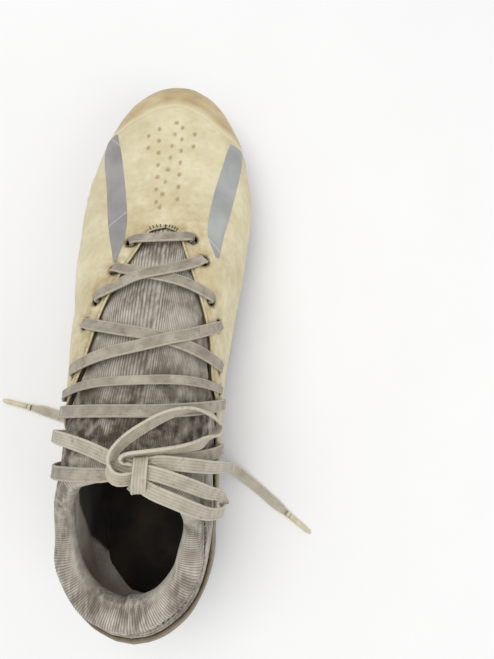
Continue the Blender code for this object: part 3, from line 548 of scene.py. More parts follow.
def coated_skin():
    made = Finish("coated_skin", 0.5)
    made.base(made.clouds(16, 4, 0.35, 0.7), (218, 207, 168), (236, 228, 196))
    made.over(made.times(made.clouds(3.2, 3, 0.45, 0.72), 0.3), (200, 182, 134))
    stain = made.times(made.field("stain"), made.clouds(6, 5, 0.30, 0.66, rough=0.65))
    made.over(made.times(stain, 0.8), (176, 148, 98))
    # Painted shade: the cream skin darkened round the heel, reaching further forward on the medial side
    heel_shade_tone = made.mix(made.noise(9, 4), (98, 86, 66), (138, 124, 98))
    made.over(made.field("heel"), heel_shade_tone)
    # Darker low by the plate and at the throat's very edge
    made.over(made.times(made.field("grime_and_shade"), made.clouds(2.6, 4, 0.25, 0.6)), (84, 70, 48))
    made.over(made.field("hole"), (92, 72, 44))
    # Painted shade in the pressed dimples
    made.over(made.times(made.field("dimple"), 0.75), (160, 132, 84))
    rough = made.clouds(5, 4, 0.3, 0.7, 0.42, 0.6)
    made.bump(made.noise(0.7, 2), 0.035)
    made.bump(made.noise(4, 3), 0.12)
    return made.done(rough)


def printed_blade(name, dark, light):
    made = Finish(name, 0.45)
    made.base(made.clouds(22, 3, 0.35, 0.65), dark, light)
    made.over(made.clouds(1.3, 5, 0.60, 0.72, 0.0, 0.45, rough=0.7), (118, 112, 112))
    # Two thin pale scratches, in metres of the frame
    scratch_at, scratch_width = 0.0468, 0.0004
    for direction in ((0.72, 0.69, 0), (-0.72, 0.69, 0)):
        across = made.node("ShaderNodeVectorMath", {0: made.rest, 1: direction}, operation="DOT_PRODUCT")
        near = made.math("ABSOLUTE", made.math("SUBTRACT", across.outputs["Value"], scratch_at))
        made.over(made.spread(near, 0.0, scratch_width, 0.55, 0.0), (226, 224, 218))
    made.bump(made.noise(0.8, 2), 0.03)
    made.bump(made.noise(4, 3), 0.1)
    return made.done(made.clouds(5, 4, 0.3, 0.7, 0.36, 0.55))


def toe_film():
    made = Finish("toe_film", 0.45)
    made.base(made.clouds(13, 5, 0.32, 0.68, rough=0.6), (184, 160, 112), (212, 192, 148))
    made.over(made.field("fade"), (226, 216, 178))
    scuff = made.spread(made.cells(5.5, (1.6, 1, 1)), 0.10, 0.22, 1.0, 0.0)
    made.over(made.times(made.times(scuff, made.field("tip")), 0.75), (104, 84, 58))
    # Darker low by the plate and towards the tip
    made.over(made.times(made.field("grime_and_shade"), made.clouds(3, 4, 0.25, 0.6)), (110, 88, 56))
    # Painted highlight along the film's raised seam
    made.over(made.times(made.field("seam"), 0.35), (236, 224, 188))
    made.bump(made.noise(0.7, 2), 0.035)
    made.bump(made.noise(4.5, 3), 0.12)
    return made.done(made.clouds(6, 3, 0.3, 0.7, 0.38, 0.58))


def rib_knit():
    made = Finish("rib_knit", 0.95, Sheen_Weight=0.25, Sheen_Roughness=0.5)
    made.base(made.clouds(15, 4, 0.40, 0.60), (142, 132, 117), (206, 197, 182))
    made.over(made.times(made.clouds(1.3, 3, 0.42, 0.68, stretch=(1, 5, 2)), 0.75), (222, 216, 205))
    stitch = made.waves(made.field("along"), 1.05)
    rib = made.field("rib")
    # Painted shade in the grooves between the ribs
    made.over(made.spread(rib, 0.0, 0.75, 0.66, 0.0), (80, 71, 62))
    # Darkened by the mesh's mask: grime, and on the sock painted shade under the laces and the skin's edge
    made.over(made.times(made.field("grime_and_shade"), made.clouds(5, 4, 0.3, 0.6)), (80, 69, 56))
    made.bump(made.times(stitch, rib), 0.12)
    made.bump(made.noise(0.5, 3), 0.10)
    return made.done()


def woven_lace(name, middle, edge, groove_shade):
    made = Finish(name, 0.9, Sheen_Weight=0.2, Sheen_Roughness=0.4)
    across = made.field("across")
    made.base(made.clouds(7, 4, 0.3, 0.7), middle, edge)
    made.over(made.times(made.spread(made.math("ABSOLUTE", across), 0.66, 0.86), 0.95), edge)
    # Painted shade in the grooves between the lace's ribs
    made.over(made.spread(made.field("rib"), 0.0, 0.6, groove_shade, 0.0), (96, 86, 74))
    made.over(made.clouds(2.2, 4, 0.55, 0.75, 0.0, 0.45), (112, 98, 82))
    made.bump(made.waves(made.math("ADD", made.field("along"), made.times(across, 1.3)), 0.85), 0.09)
    made.bump(made.noise(0.45, 2), 0.08)
    return made.done()


def lining_cloth():
    made = Finish("lining_cloth", 0.95, Sheen_Weight=0.15)
    made.base(made.clouds(12, 4, 0.3, 0.7), (212, 200, 180), (238, 230, 214))
    made.over(made.clouds(9, 4, 0.5, 0.75, 0.0, 0.4), (128, 106, 82))
    # Near-black forward of the slant: partly the cloth's own dark colour, partly painted shade deep in the shoe
    dark = made.mix(made.clouds(10, 4, 0.35, 0.7), (26, 21, 16), (52, 44, 34))
    made.over(made.times(made.field("rib"), 0.3), (128, 116, 98))
    made.over(made.field("dark"), dark)
    made.bump(made.cells(0.9), 0.12)
    made.bump(made.noise(0.5, 2), 0.06)
    return made.done()


def footbed_foam():
    made = Finish("footbed_foam", 0.95)
    # Near-black: partly the foam's own colour, partly painted shade deep in the shoe
    made.base(made.clouds(14, 5, 0.35, 0.7), (24, 20, 15), (50, 42, 32))
    made.bump(made.cells(1.1), 0.15)
    return made.done()


def moulded_plastic(name, dark, light, dust):
    made = Finish(name, 0.4)
    made.base(made.clouds(9, 4, 0.35, 0.7), dark, light)
    made.over(made.clouds(3.5, 6, 0.50, 0.70, 0.0, 0.5, rough=0.7), dust)
    made.bump(made.noise(0.6, 3), 0.03)
    made.bump(made.noise(0.35, 2, (1, 6, 1)), 0.03)
    return made.done(made.clouds(4, 4, 0.3, 0.7, 0.32, 0.62))


def aglet_film():
    made = Finish("aglet_film", 0.3, Coat_Weight=0.3, Coat_Roughness=0.2)
    made.base(made.clouds(4, 3, 0.3, 0.7), (196, 184, 152), (226, 218, 190))
    made.over(made.times(made.field("seam"), 0.8), (120, 100, 70))
    made.bump(made.noise(0.8, 2), 0.04)
    return made.done()


def hidden_cloth(name, dark, light, pitch):
    """For the layers inside the upper: a plain weave with threads this far apart."""
    made = Finish(name, 0.9, on_frame=True)
    made.base(made.clouds(6, 4, 0.3, 0.7), dark, light)
    parts = made.node("ShaderNodeSeparateXYZ", {0: made.rest})
    weave = made.times(made.waves(parts.outputs["Y"], pitch * MM),
                       made.waves(made.math("ADD", parts.outputs["X"], parts.outputs["Z"]), pitch * MM))
    made.bump(weave, 0.08)
    # Painted shade between the threads of the weave
    made.over(made.spread(weave, 0.0, 1.0, 0.25, 0.0), (60, 52, 40))
    return made.done()


def thread(name, dark, light):
    made = Finish(name, 0.75)
    made.base(made.clouds(1.5, 3, 0.3, 0.7), dark, light)
    made.bump(made.noise(0.3, 2), 0.05)
    return made.done()


def pale_floor():
    made = Finish("pale_floor", 0.9, on_frame=True)
    made.base(made.noise(60, 2), (250, 250, 250), (254, 254, 254))
    made.bump(made.noise(1.2, 2), 0.02)
    return made.done()


# The upper's skin, and what lies on it


def eyelet_places():
    return np.array([surface(y, v * SIDE_SIGN[side]) for side in EYELETS for y, v in EYELETS[side]])


def dimple_places():
    places = []
    for x0, y0, x1, y1, count in DIMPLE_COLUMNS:
        for x, y in zip(np.linspace(x0, x1, count), np.linspace(y0, y1, count)):
            places.append(surface(y, round_at_x(y, x)))
    return np.array(places)


def arc_y(v):
    """Where the toe film's rear edge runs."""
    return 258.5 - 15 * np.clip(np.abs(v) / 0.34, 0, 1) ** 1.25 - 26 * np.clip(np.abs(v) - 0.34, 0, 1) ** 1.1


def skin_relief(points, v):
    """How far the worn skin stands off the last: slack, creases behind the toes, and wear."""
    slack = 0.28 * ripple(points, 34, 3) + 0.14 * ripple(points, 13, 5)
    crease_zone = step(176, 192, points[:, 1]) * (1 - step(206, 222, points[:, 1]))
    creases = -np.abs(ripple(points * (0.35, 1.0, 0.5), 9, 11)) * 0.35 + 0.12
    side = step(0.15, 0.45, np.abs(v))
    return slack + crease_zone * creases * (0.35 + 0.65 * side)


def skin_patch():
    """The whole skin up to the throat and the sock, with its holes, rolled edge and finely drawn dimples."""
    stations = np.concatenate([np.linspace(0, 12, 14)[:-1], np.arange(12, 194, 1.35),
                               np.arange(194, 252, 0.62), np.arange(252, 272, 1.2), np.linspace(272, 280, 14)])
    shares = np.concatenate([np.arange(0, 0.2, 0.0055), np.linspace(0.2, 1, 38)])
    far_from_edge = 40  # past the throat's tip, where the skin has no edge
    sides = []
    for side, sign in SIDE_SIGN.items():
        edged = (stations < THROAT_TIP_Y)[:, None]
        top = np.where(edged, SKIN_TOP[side](stations)[:, None], 0)
        v = top + (1 - top) * shares[None]
        from_top = np.where(edged, (v - top) * MM_PER_V, far_from_edge)
        patch = Patch.grid(surface(stations[:, None], sign * v), v=sign * v, from_top=from_top)
        sides.append(patch if sign > 0 else patch.reversed())
    patch = sides[0].joined(sides[1]).welded().facing(INSIDE)
    p, v, from_top = patch.points, patch.fields["v"], patch.fields["from_top"]
    eyelets = eyelet_places()
    to_eyelet = nearest(p, eyelets)
    lengthwise = (1, 0.68, 0.15)
    to_dimple = nearest(p * lengthwise, dimple_places() * lengthwise)

    # Round holes: what lies inside one is moved out to its rim, and the faces left inside it go
    inside = to_eyelet < EYELET_RADIUS
    for place in eyelets:
        apart = p - place
        far = np.linalg.norm(apart, axis=1)
        close = far < EYELET_RADIUS
        p[close] = place + apart[close] / np.maximum(far[close], 0.05)[:, None] * EYELET_RADIUS

    relief = skin_relief(p, v)
    relief -= 0.4 * bell(to_dimple, 0, 0.95)
    relief -= 0.9 * bell(np.maximum(to_eyelet, EYELET_RADIUS), EYELET_RADIUS, 1.6)
    relief -= 0.45 * (1 - step(0, 1.6, from_top))
    relief += 0.25 * bell(from_top, 3.4, 1.3) - 0.15 * bell(from_top, 5.6, 0.9)
    patch = patch.pushed(relief)

    p = patch.points
    height = p[:, 2] - FEATHER(p[:, 1])
    throat = 1 - step(2, 16, from_top)
    # The heel mask below places painted shade round the heel, reaching further forward on the medial side
    from_heel = p[:, 1] + 26 * (p[:, 0] < 0) + 4 * ripple(p, 20, 8)
    patch.fields = {
        "hole": 1 - step(EYELET_RADIUS + 0.2, EYELET_RADIUS + 1.3, to_eyelet),
        # dimple: the pressed dimples, darkened as painted shade
        "dimple": 1 - step(0.6, 1.15, to_dimple),
        "stain": np.clip(0.16 + 0.35 * throat + 0.6 * bell(to_eyelet, 0, 8) + 0.3 * ripple(p, 60, 21)
                         + 0.4 * (1 - step(0, 24, height)), 0, 1),
        "heel": np.clip((1 - step(40, 112, from_heel)) * 0.95, 0, 1),
        "grime_and_shade": np.clip((1 - step(1.5, 9, height)) * 0.9 + 0.5 * bell(from_top, 0, 1.1), 0, 1),
    }
    return patch.without(inside[:len(p)]).thickened(SKIN)


def film_on_skin(y, v, across):
    """A thin printed film over the skin, drawn down at its edges, where across is -1 and 1."""
    patch = Patch.grid(surface(y, v), v=v, edge=np.abs(across)).facing(INSIDE)
    lift = FILM_LIFT - 0.2 * step(0.9, 1.0, patch.fields["edge"])
    return patch.pushed(skin_relief(patch.points, patch.fields["v"]) + lift)


def leaf_patch(side):
    """A pointed blade printed on the skin."""
    x, y, _, half = smooth_route(LEAVES[side], 1.5).T[:, :, None]
    across = np.linspace(-1, 1, 11)[None]
    half = half * (1 + 0.05 * np.sin(y / 9))
    return film_on_skin(y, round_at_x(y, x + half * across), across)


def flank_patch(side):
    """A plain low band along the flank."""
    y = np.arange(94, 174, 1.6)[:, None]
    half = 0.055 * np.sin(math.pi * np.clip((y - 92) / 84, 0, 1)) + 0.002
    across = np.linspace(-1, 1, 9)[None]
    return film_on_skin(y, SIDE_SIGN[side] * (0.80 + half * across), across)


def toe_film_patch():
    """The worn film over the toe, with a seam along its rear edge."""
    v = np.linspace(-0.955, 0.955, 120)[None]
    share = np.concatenate([np.linspace(0, 0.12, 8), np.linspace(0.15, 1, 34)])[:, None]
    y = arc_y(v) + (LENGTH - arc_y(v)) * share
    patch = Patch.grid(surface(y, v), v=v, from_arc=y - arc_y(v)).welded().facing(FOREFOOT_INSIDE)
    from_arc = patch.fields["from_arc"]
    lift = 0.05 + 0.28 * step(0, 2.2, from_arc) + 0.06 * bell(from_arc, 1.8, 0.9)
    patch = patch.pushed(skin_relief(patch.points, patch.fields["v"]) + lift)
    p = patch.points
    patch.fields = {
        # seam: where the painted highlight runs, along the film's raised rear edge
        "seam": bell(from_arc, 1.3, 0.75),
        "fade": 0.85 * (1 - step(0, 9, from_arc + 2.5 * ripple(p, 15, 61))),
        "tip": step(268, 277, p[:, 1]),
        "grime_and_shade": 0.9 * (1 - step(1, 8, p[:, 2] - FEATHER(p[:, 1]))) + 0.25 * step(262, 280, p[:, 1]),
    }
    return patch


def throat_edge():
    """Points just inside the throat's edge, from the lateral side round its tip to the medial side."""
    y = np.concatenate([np.arange(93, 180, 1.2), np.linspace(180, 186.4, 12)])
    inset_v, sunk = 0.005, 0.55
    ys = np.concatenate([y, y[::-1]])
    vs = np.concatenate([inset_v - SKIN_TOP["lateral"](y), (SKIN_TOP["medial"](y) - inset_v)[::-1]])
    return surface(ys, vs) - outward(ys, vs) * sunk


def tube_patch(route, radius, sides=8):
    """A round tube along route; radius is one value, or one for each point."""
    along = unit(np.concatenate([route[1:], route[-1:]]) - np.concatenate([route[:1], route[:-1]]))
    side = unit(np.cross(along, np.where(np.abs(along[:, 2:]) > 0.9, (1.0, 0, 0), (0, 0, 1.0))))
    up = np.cross(side, along)
    angle = np.linspace(0, math.tau, sides, endpoint=False)[None, :, None]
    radius = np.broadcast_to(radius, len(route))[:, None, None]
    ring = route[:, None] + radius * (side[:, None] * np.cos(angle) + up[:, None] * np.sin(angle))
    return Patch.grid(ring, round_columns=True)


# The knit sock and its collar


def sock_patch(lace_points):
    """The ribbed sock: bare over the tongue and ankle, pressed in under the laces and tucked under the skin."""
    v = np.arange(-0.745, 0.7451, RIB_V / 4)[None]
    y = np.concatenate([np.linspace(0, 10, 10)[:-1], np.arange(10, 188.5, 1.7)])[:, None]
    # rib: 1 on the ribs, 0 in the grooves, where the knit's colour is darkened as painted shade
    rib = 0.5 + 0.5 * np.cos(math.tau * v / RIB_V)
    patch = Patch.grid(surface(y, v), v=v, rib=rib, along=y).welded().facing(INSIDE)
    p, v, y = patch.points, patch.fields["v"], patch.fields["along"]
    top = skin_top(y, v)
    below_rim = rim_clearance(y, v)
    tucked = step(-0.035, 0.02, np.abs(v) - top)
    pressed = bell(nearest(p, lace_points), 0, 4.2)
    inset = 1.3 + 0.9 * pressed + 1.5 * tucked - 0.45 * ripple(p, 26, 31) * (1 - tucked)
    inset += 2.4 * (1 - step(0, 7, below_rim))
    # Painted shade under the laces and where the knit tucks under the skin's edge, with darkening in patches,
    # in a band across the tongue near y 98 and towards the heel
    patch.fields["grime_and_shade"] = np.clip(0.4 * pressed + bell(y, 98, 14) * (np.abs(v) < 0.5)
                                    + 0.25 * (1 - step(95, 150, y))
                                    + 0.5 * tucked + 0.3 * ripple(p, 30, 33), 0, 1)
    patch = patch.pushed(-inset + 0.34 * (patch.fields["rib"] - 1))
    gone = (below_rim < 1.2) | (np.abs(v) - top > 0.055)
    return patch.without(gone)


def rim_clearance(y, v):
    """How far a place is from the collar's rim, in about millimetres, and negative inside the mouth."""
    rim_y = np.array([COLLAR_FRONT_Y, *[y0 for y0, _ in reversed(COLLAR_RIM)]])
    rim_v = np.array([0, *[round_at_height(y0, z0) for y0, z0 in reversed(COLLAR_RIM)]])
    ahead = y - np.interp(np.abs(v), rim_v, rim_y)
    under = (np.abs(v) - np.interp(y, rim_y[::-1], rim_v[::-1])) * MM_PER_V
    return np.where(y > COLLAR_FRONT_Y, ahead, np.maximum(np.minimum(ahead, 40) * 0.6, under))


def collar_frame(pace, reach):
    """Points round the collar's middle at this pace, with the directions along it and out of the shoe."""
    inside = COLLAR_RADIUS + COLLAR_SINK
    front = surface(COLLAR_FRONT_Y, 0) - outward(COLLAR_FRONT_Y, 0) * inside
    sides = {}
    for side, sign in SIDE_SIGN.items():
        places = [(y, sign * round_at_height(y, z)) for y, z in COLLAR_RIM]
        sides[side] = [surface(*at) - outward(*at) * inside for at in places]
    height = COLLAR_RIM[0][1]
    back = np.array([RIDGE(0), heel_lean(height) + inside, height - COLLAR_RADIUS / 2])
    route = smooth_route([back, *sides["lateral"], front, *reversed(sides["medial"])], pace, closed=True)
    along = unit(np.roll(route, -reach, 0) - np.roll(route, reach, 0))
    out = unit(np.cross(along, (0, 0, 1.0)))
    out *= np.sign(((route - route.mean(axis=0)) * out).sum(axis=1, keepdims=True))
    return route, along, out


def collar_patch():
    """The padded collar: a soft roll, wider and deeper round the heel, with ribs running across it."""
    route, along, out = collar_frame(0.24, 3)
    up = np.cross(out, along)
    up *= np.sign(up[:, 2:])
    lengths = lengths_along(route)
    total = lengths[-1] + np.linalg.norm(route[0] - route[-1])
    ribs = round(total / 0.96)
    back = 1 - step(20, 62, route[:, 1])
    on_medial = route[:, 0] >= route.mean(axis=0)[0]
    wide = (3.7 + 2.2 * back + 0.8 * on_medial) * (1 + 0.05 * np.sin(lengths / total * math.tau * 5 + 1))
    deep = 5.2 + 1.4 * back
    angle = np.linspace(0, math.tau, 30, endpoint=False)
    cosine, sine = np.cos(angle)[None], np.sin(angle)[None]
    rib = 0.5 + 0.5 * np.cos(math.tau * ribs * lengths / total)[:, None]
    side = (COLLAR_RADIUS - wide)[:, None] + wide[:, None] * np.sign(cosine) * np.abs(cosine) ** 0.8
    rise = deep[:, None] * np.sign(sine) * np.abs(sine) ** 0.8
    points = route[:, None] + out[:, None] * side[..., None] + up[:, None] * rise[..., None]
    patch = Patch.grid(points, True, True, rib=rib, along=np.degrees(angle)[None] / 8,
                       inner=np.clip(-cosine, 0, 1), seam=bell(cosine, 0.93, 0.05))
    p = patch.points
    outwards = p - np.repeat(route, len(angle), axis=0)
    if (patch.normals() * outwards).sum() < 0:
        patch = patch.reversed()
    inner = patch.fields["inner"]
    # Ribs flattened on the inner side, which also leaves out the painted groove shade there
    patch.fields["rib"] = np.maximum(patch.fields["rib"], step(0.55, 0.8, inner))
    # On the collar this darkening is only grime: in patches and along its seam, less on the inside
    grime_and_shade = 0.2 + 0.35 * ripple(p, 25, 41) + 0.35 * patch.fields["seam"] - 0.5 * inner
    patch.fields["grime_and_shade"] = np.clip(grime_and_shade, 0, 1)
    relief = 0.3 * (patch.fields["rib"] - 1) + 0.45 * ripple(p, 24, 43)
    return patch.pushed(relief)


def collar_seam():
    """Short overlock stitches where the collar's band meets the sock, as slim bars over the join."""
    bars = []
    for place, ahead, away in zip(*collar_frame(1.9, 1)):
        if place[1] <= 78:
            low, high = place + away * 5.2 - (0, 0, 3.6), place + away * 6.0 + (0, 0, 0.6)
            line = np.array([low - ahead * 0.5, (low + high) / 2 + away * 0.5, high + ahead * 0.5])
            bars.append(tube_patch(line, 0.24, 5))
    return reduce(Patch.joined, bars)


def bar_tack():
    """The dark stitches that hold the throat's tip."""
    bars = []
    for share in np.linspace(-1, 1, 9):
        y = np.array([185.6, 186.4, 187.2]) - 1.6 * share**2
        v = 0.036 * share * np.array([1.0, 1.1, 1.2])
        bars.append(tube_patch(surface(y, v) + outward(y, v) * np.array([[0.0], [0.4], [0.0]]), 0.2, 5))
    return reduce(Patch.joined, bars)


# The lining and footbed


def lining_patch():
    """The inside: light cloth round the heel with a padded ledge, and from a slant forward dark cloth, made
    near-black partly as painted shade deep in the shoe.
    """
    y = np.concatenate([np.linspace(0, 14, 16)[:-1], np.arange(14, 190, 1.8)])[:, None]
    share = np.linspace(0, 1, 46)[None]
    rim = np.interp(y, [0, 28, 46, 60, 70, 77, 82.5], [0.52, 0.52, 0.52, 0.47, 0.37, 0.24, 0.0])
    start = np.where(y > COLLAR_FRONT_Y + 1, 0, rim)
    sides = []
    for sign in (-1, 1):
        patch = Patch.grid(surface(y, sign * (start + (0.98 - start) * share)), y=y)
        sides.append(patch if sign > 0 else patch.reversed())
    patch = sides[0].joined(sides[1]).welded().facing(INSIDE).reversed()
    p, y = patch.points, patch.fields["y"]
    z = p[:, 2]
    light = 1 - step(-1, 1, y - 29 - (z - 20) * 0.82 + 1.2 * ripple(p, 18, 51))
    ledge = (1 - step(14, 34, y)) * bell(z, 55, 6)
    slanted = np.sin((y * 0.8 + z * 0.6) * math.tau / 3.4) * light * step(14, 26, y)
    inset = np.where(y > 190, 4.4, 8.0) + 5.0 * ledge + 0.5 * ripple(p, 22, 53)
    patch = patch.pushed(inset + 0.22 * slanted)
    # dark: forward of the slant, where the near-black colour is partly painted shade
    patch.fields = {"dark": 1 - light, "rib": np.clip(0.5 + 0.5 * slanted, 0, 1) * light}
    return patch


def footbed_patch(low_y, high_y, trim):
    """The removable footbed: cupped at its edges and dented by the foot."""
    y = np.linspace(low_y, high_y, round((high_y - low_y) / 2.2))[:, None]
    s = np.linspace(-1, 1, 33)[None]
    medial, lateral = (np.maximum(half_width(y, sign) * SOLE_REACH - trim * ends(y), 0.4) for sign in (1, -1))
    x = RIDGE(y) + np.where(s > 0, medial, lateral) * s
    lean = lean_at(y, FEATHER(y))
    cup = 1.3 * np.abs(s) ** 6
    dent = -0.5 * np.exp(-(((y - 28) / 16) ** 2) - (s / 0.5) ** 2)
    z = FEATHER(y) + 6.0 - 0.5 + cup + dent
    points = np.stack(np.broadcast_arrays(x, y + lean, z), -1)
    return Patch.grid(points).facing(FAR_BELOW).thickened(2.9)


# Laces


def eyelet(side, number):
    y, v = EYELETS[side][number - 1]
    return np.array([y, v * SIDE_SIGN[side]])


def crossing(first, second):
    """Where two straight runs over the last cross, as a share of the first; each is two (y, v) places."""
    (a, b), (c, d) = first, second
    mine, other, apart = b - a, d - c, c - a
    return (apart[0] * other[1] - apart[1] * other[0]) / (mine[0] * other[1] - mine[1] * other[0])


def station(place, lift, width):
    """(x, y, z, facing x, y, z, width) this far over a (y, v) place."""
    facing = outward(*place)
    return [*(surface(*place) + facing * lift), *facing, width]


def lace_run(start, stop, lift, hump=None, narrow=1.0, bow=0.0):
    """The stations of a run over the upper between two (y, v) places.

    hump is the share of the length where it rises over another run, and bow how far it sags toward the toe.
    """
    length = np.linalg.norm(surface(*stop) - surface(*start))
    count = max(2, round((length - 2 * NEAR_HOLE) / 7))
    places = [NEAR_HOLE / 2, *np.linspace(NEAR_HOLE, length - NEAR_HOLE, count), length - NEAR_HOLE / 2]
    found = []
    for t in np.array(places) / length:
        place = start + (stop - start) * t + (bow * math.sin(math.pi * t), 0)
        rise = lift
        if hump is not None:
            rise += CROSSING_RISE * math.exp(-(((t - hump) * length / 8) ** 2))
        width = LACE_WIDTH if lift > 0 else LACE_BUNCHED
        if min(t, 1 - t) * length < NEAR_HOLE - 0.1:
            width = LACE_AT_HOLE
        found.append(station(place, rise, width * narrow))
    return found


def held_stations():
    """The stations of the lace from the knot through every eyelet and back to the knot."""
    start_y, stop_y = KNOT[1] - 1.5, KNOT[1] + 4.5
    start = np.array([start_y, round_at_x(start_y, KNOT[0] - 8.3)])
    stop = np.array([stop_y, round_at_x(stop_y, KNOT[0] + 6.3)])
    stations = [station(start, LACE_ABOVE, LACE_WIDTH), *lace_run(start, eyelet(*LACING[0]), LACE_ABOVE)]
    for i, run in enumerate(zip(LACING, LACING[1:])):
        here, after = eyelet(*run[0]), eyelet(*run[1])
        goes_under = i % 2 == 0
        stations += [station(here, lift, LACE_BUNCHED) for lift in UP_THROUGH[:: -1 if goes_under else 1]]
        hump = crossing([here, after], [eyelet(*at) for at in RISES_OVER[run]]) if run in RISES_OVER else None
        narrow, bow = (0.72, 5.5) if run == SLACK_RUN else (1.0, 0.0)
        stations += lace_run(here, after, LACE_BELOW if goes_under else LACE_ABOVE, hump, narrow, bow)
    last = eyelet(*LACING[-1])
    stations += [station(last, lift, LACE_BUNCHED) for lift in UP_THROUGH]
    stations += [*lace_run(last, stop, LACE_ABOVE), station(stop, LACE_ABOVE, LACE_WIDTH)]
    return np.array(stations, float)


def lace_patch(route, facing, width, flat=None, window=7):
    """A flat woven lace: rounded thick edges, with shallow ribs between them, on both of its faces.

    flat is the direction across it at each point; without it, the lace lies flat to facing.
    """
    count = len(route)
    index = np.arange(count)
    along = unit(route[np.minimum(index + 1, count - 1)] - route[np.maximum(index - 1, 0)])
    if flat is None:
        level = route[np.minimum(index + window, count - 1)] - route[np.maximum(index - window, 0)]
        flat = unit(np.cross(level, facing))
    flat = unit(flat - along * (flat * along).sum(axis=1, keepdims=True))
    up = np.cross(flat, along)
    u = np.linspace(-1, 1, 23)
    rib = 0.5 + 0.5 * np.cos(u * math.pi * 5)
    edge = np.clip((np.abs(u) - 0.72) / 0.28, 0, 1)
    rise = LACE_THICK / 2 * np.where(edge > 0, np.sqrt(np.clip(1 - edge**2, 0, 1)), 0.66 + 0.16 * rib)
    rise = np.maximum(rise, 0.02)
    lengths = lengths_along(route)
    shape = np.concatenate([np.stack([u, rise], 1), np.stack([u[::-1], -rise[::-1]], 1)[1:-1]])
    half = np.broadcast_to(width, count)[:, None] / 2
    cupped = 1 + 0.03 * np.sin(lengths / 17)[:, None]
    points = (route[:, None] + flat[:, None] * (shape[None, :, 0] * half * cupped)[..., None]
              + up[:, None] * shape[None, :, 1:])
    rib = np.where(edge > 0, 1, rib)
    ribs = np.concatenate([rib, rib[::-1][1:-1]])
    caps = points.mean(axis=1, keepdims=True)
    points = np.concatenate([np.broadcast_to(caps[:1], points[:1].shape), points,
                             np.broadcast_to(caps[-1:], points[-1:].shape)])
    lengths = np.concatenate([lengths[:1], lengths, lengths[-1:]])
    patch = Patch.grid(points, round_columns=True, across=shape[None, :, 0], along=lengths[:, None],
                       rib=ribs[None]).welded(0.001)
    a, b, c, d = np.moveaxis(patch.points[patch.faces], 1, 0)
    volume = (a * (np.cross(b, c) + np.cross(c, d))).sum()
    return patch if volume > 0 else patch.reversed()


def free_lace(points, tucks, hints, end_width):
    """A free lace along its route, with its ends tucked on into the knot, and the whole of that route.

    tucks are the places in the knot before and after points, hints are (share of the length, direction across
    the lace) pairs, and end_width is the share of the full width that its far end is narrowed to.
    """
    before, after = tucks
    route = smooth_route([*before, *points, *after], 1.3)
    share = np.linspace(0, 1, len(route))
    places = [place for place, _ in hints]
    flat = np.stack([np.interp(share, places, [across[k] for _, across in hints]) for k in range(3)], 1)
    width = LACE_WIDTH * (1 - (1 - end_width) * step(0.95, 1.0, share))
    return lace_patch(route, None, width, flat=unit(flat)), route


def knot_patch():
    """The bow's middle: one lace strapped round the bundle, over the bundle's folded laces."""
    turn = np.linspace(0, math.tau, 73)[:-1]
    strap = np.stack([KNOT[0] - 0.2 + 0.5 * np.sin(turn), KNOT[1] + 5.7 * np.cos(turn),
                      KNOT[2] - 0.3 + 3.4 * np.sin(turn)], 1)
    closed = np.concatenate([strap, strap[:2]])
    flat = np.tile((1.0, 0.10, 0.0), (len(closed), 1))
    patch = lace_patch(closed, None, LACE_WIDTH, flat=flat)
    for height, forward, spread, tilt in ((0.2, -2.2, 3.0, -0.2), (-1.6, 1.4, 4.6, 0.15)):
        s = np.linspace(-1, 1, 22)
        fold = np.stack([KNOT[0] + spread * s, KNOT[1] + forward + 1.1 * np.sin(s * 2.4),
                         KNOT[2] + height - 0.8 * s**2], 1)
        across = np.tile((0.0, 1.0, tilt), (len(s), 1))
        patch = patch.joined(lace_patch(fold, None, 4.6, flat=unit(across)))
    return patch


def aglet_patch(points):
    """The lace's tip: film rolled tight round its end, crimped where it starts and pinched to a blunt tip."""
    end, before = np.array(points[-1], float), np.array(points[-2], float)
    along = unit(end - before)
    place, radius = np.array(AGLET).T
    fine = np.linspace(place[0], place[-1], 60)
    route = end + along * (0.3 + fine[:, None])
    sides = 18
    patch = tube_patch(route, np.interp(fine, place, radius), sides)
    patch.fields = {"seam": np.repeat(bell(fine, 1.6, 0.35), sides)}
    return patch.facing(route.mean(axis=0))


# The sole


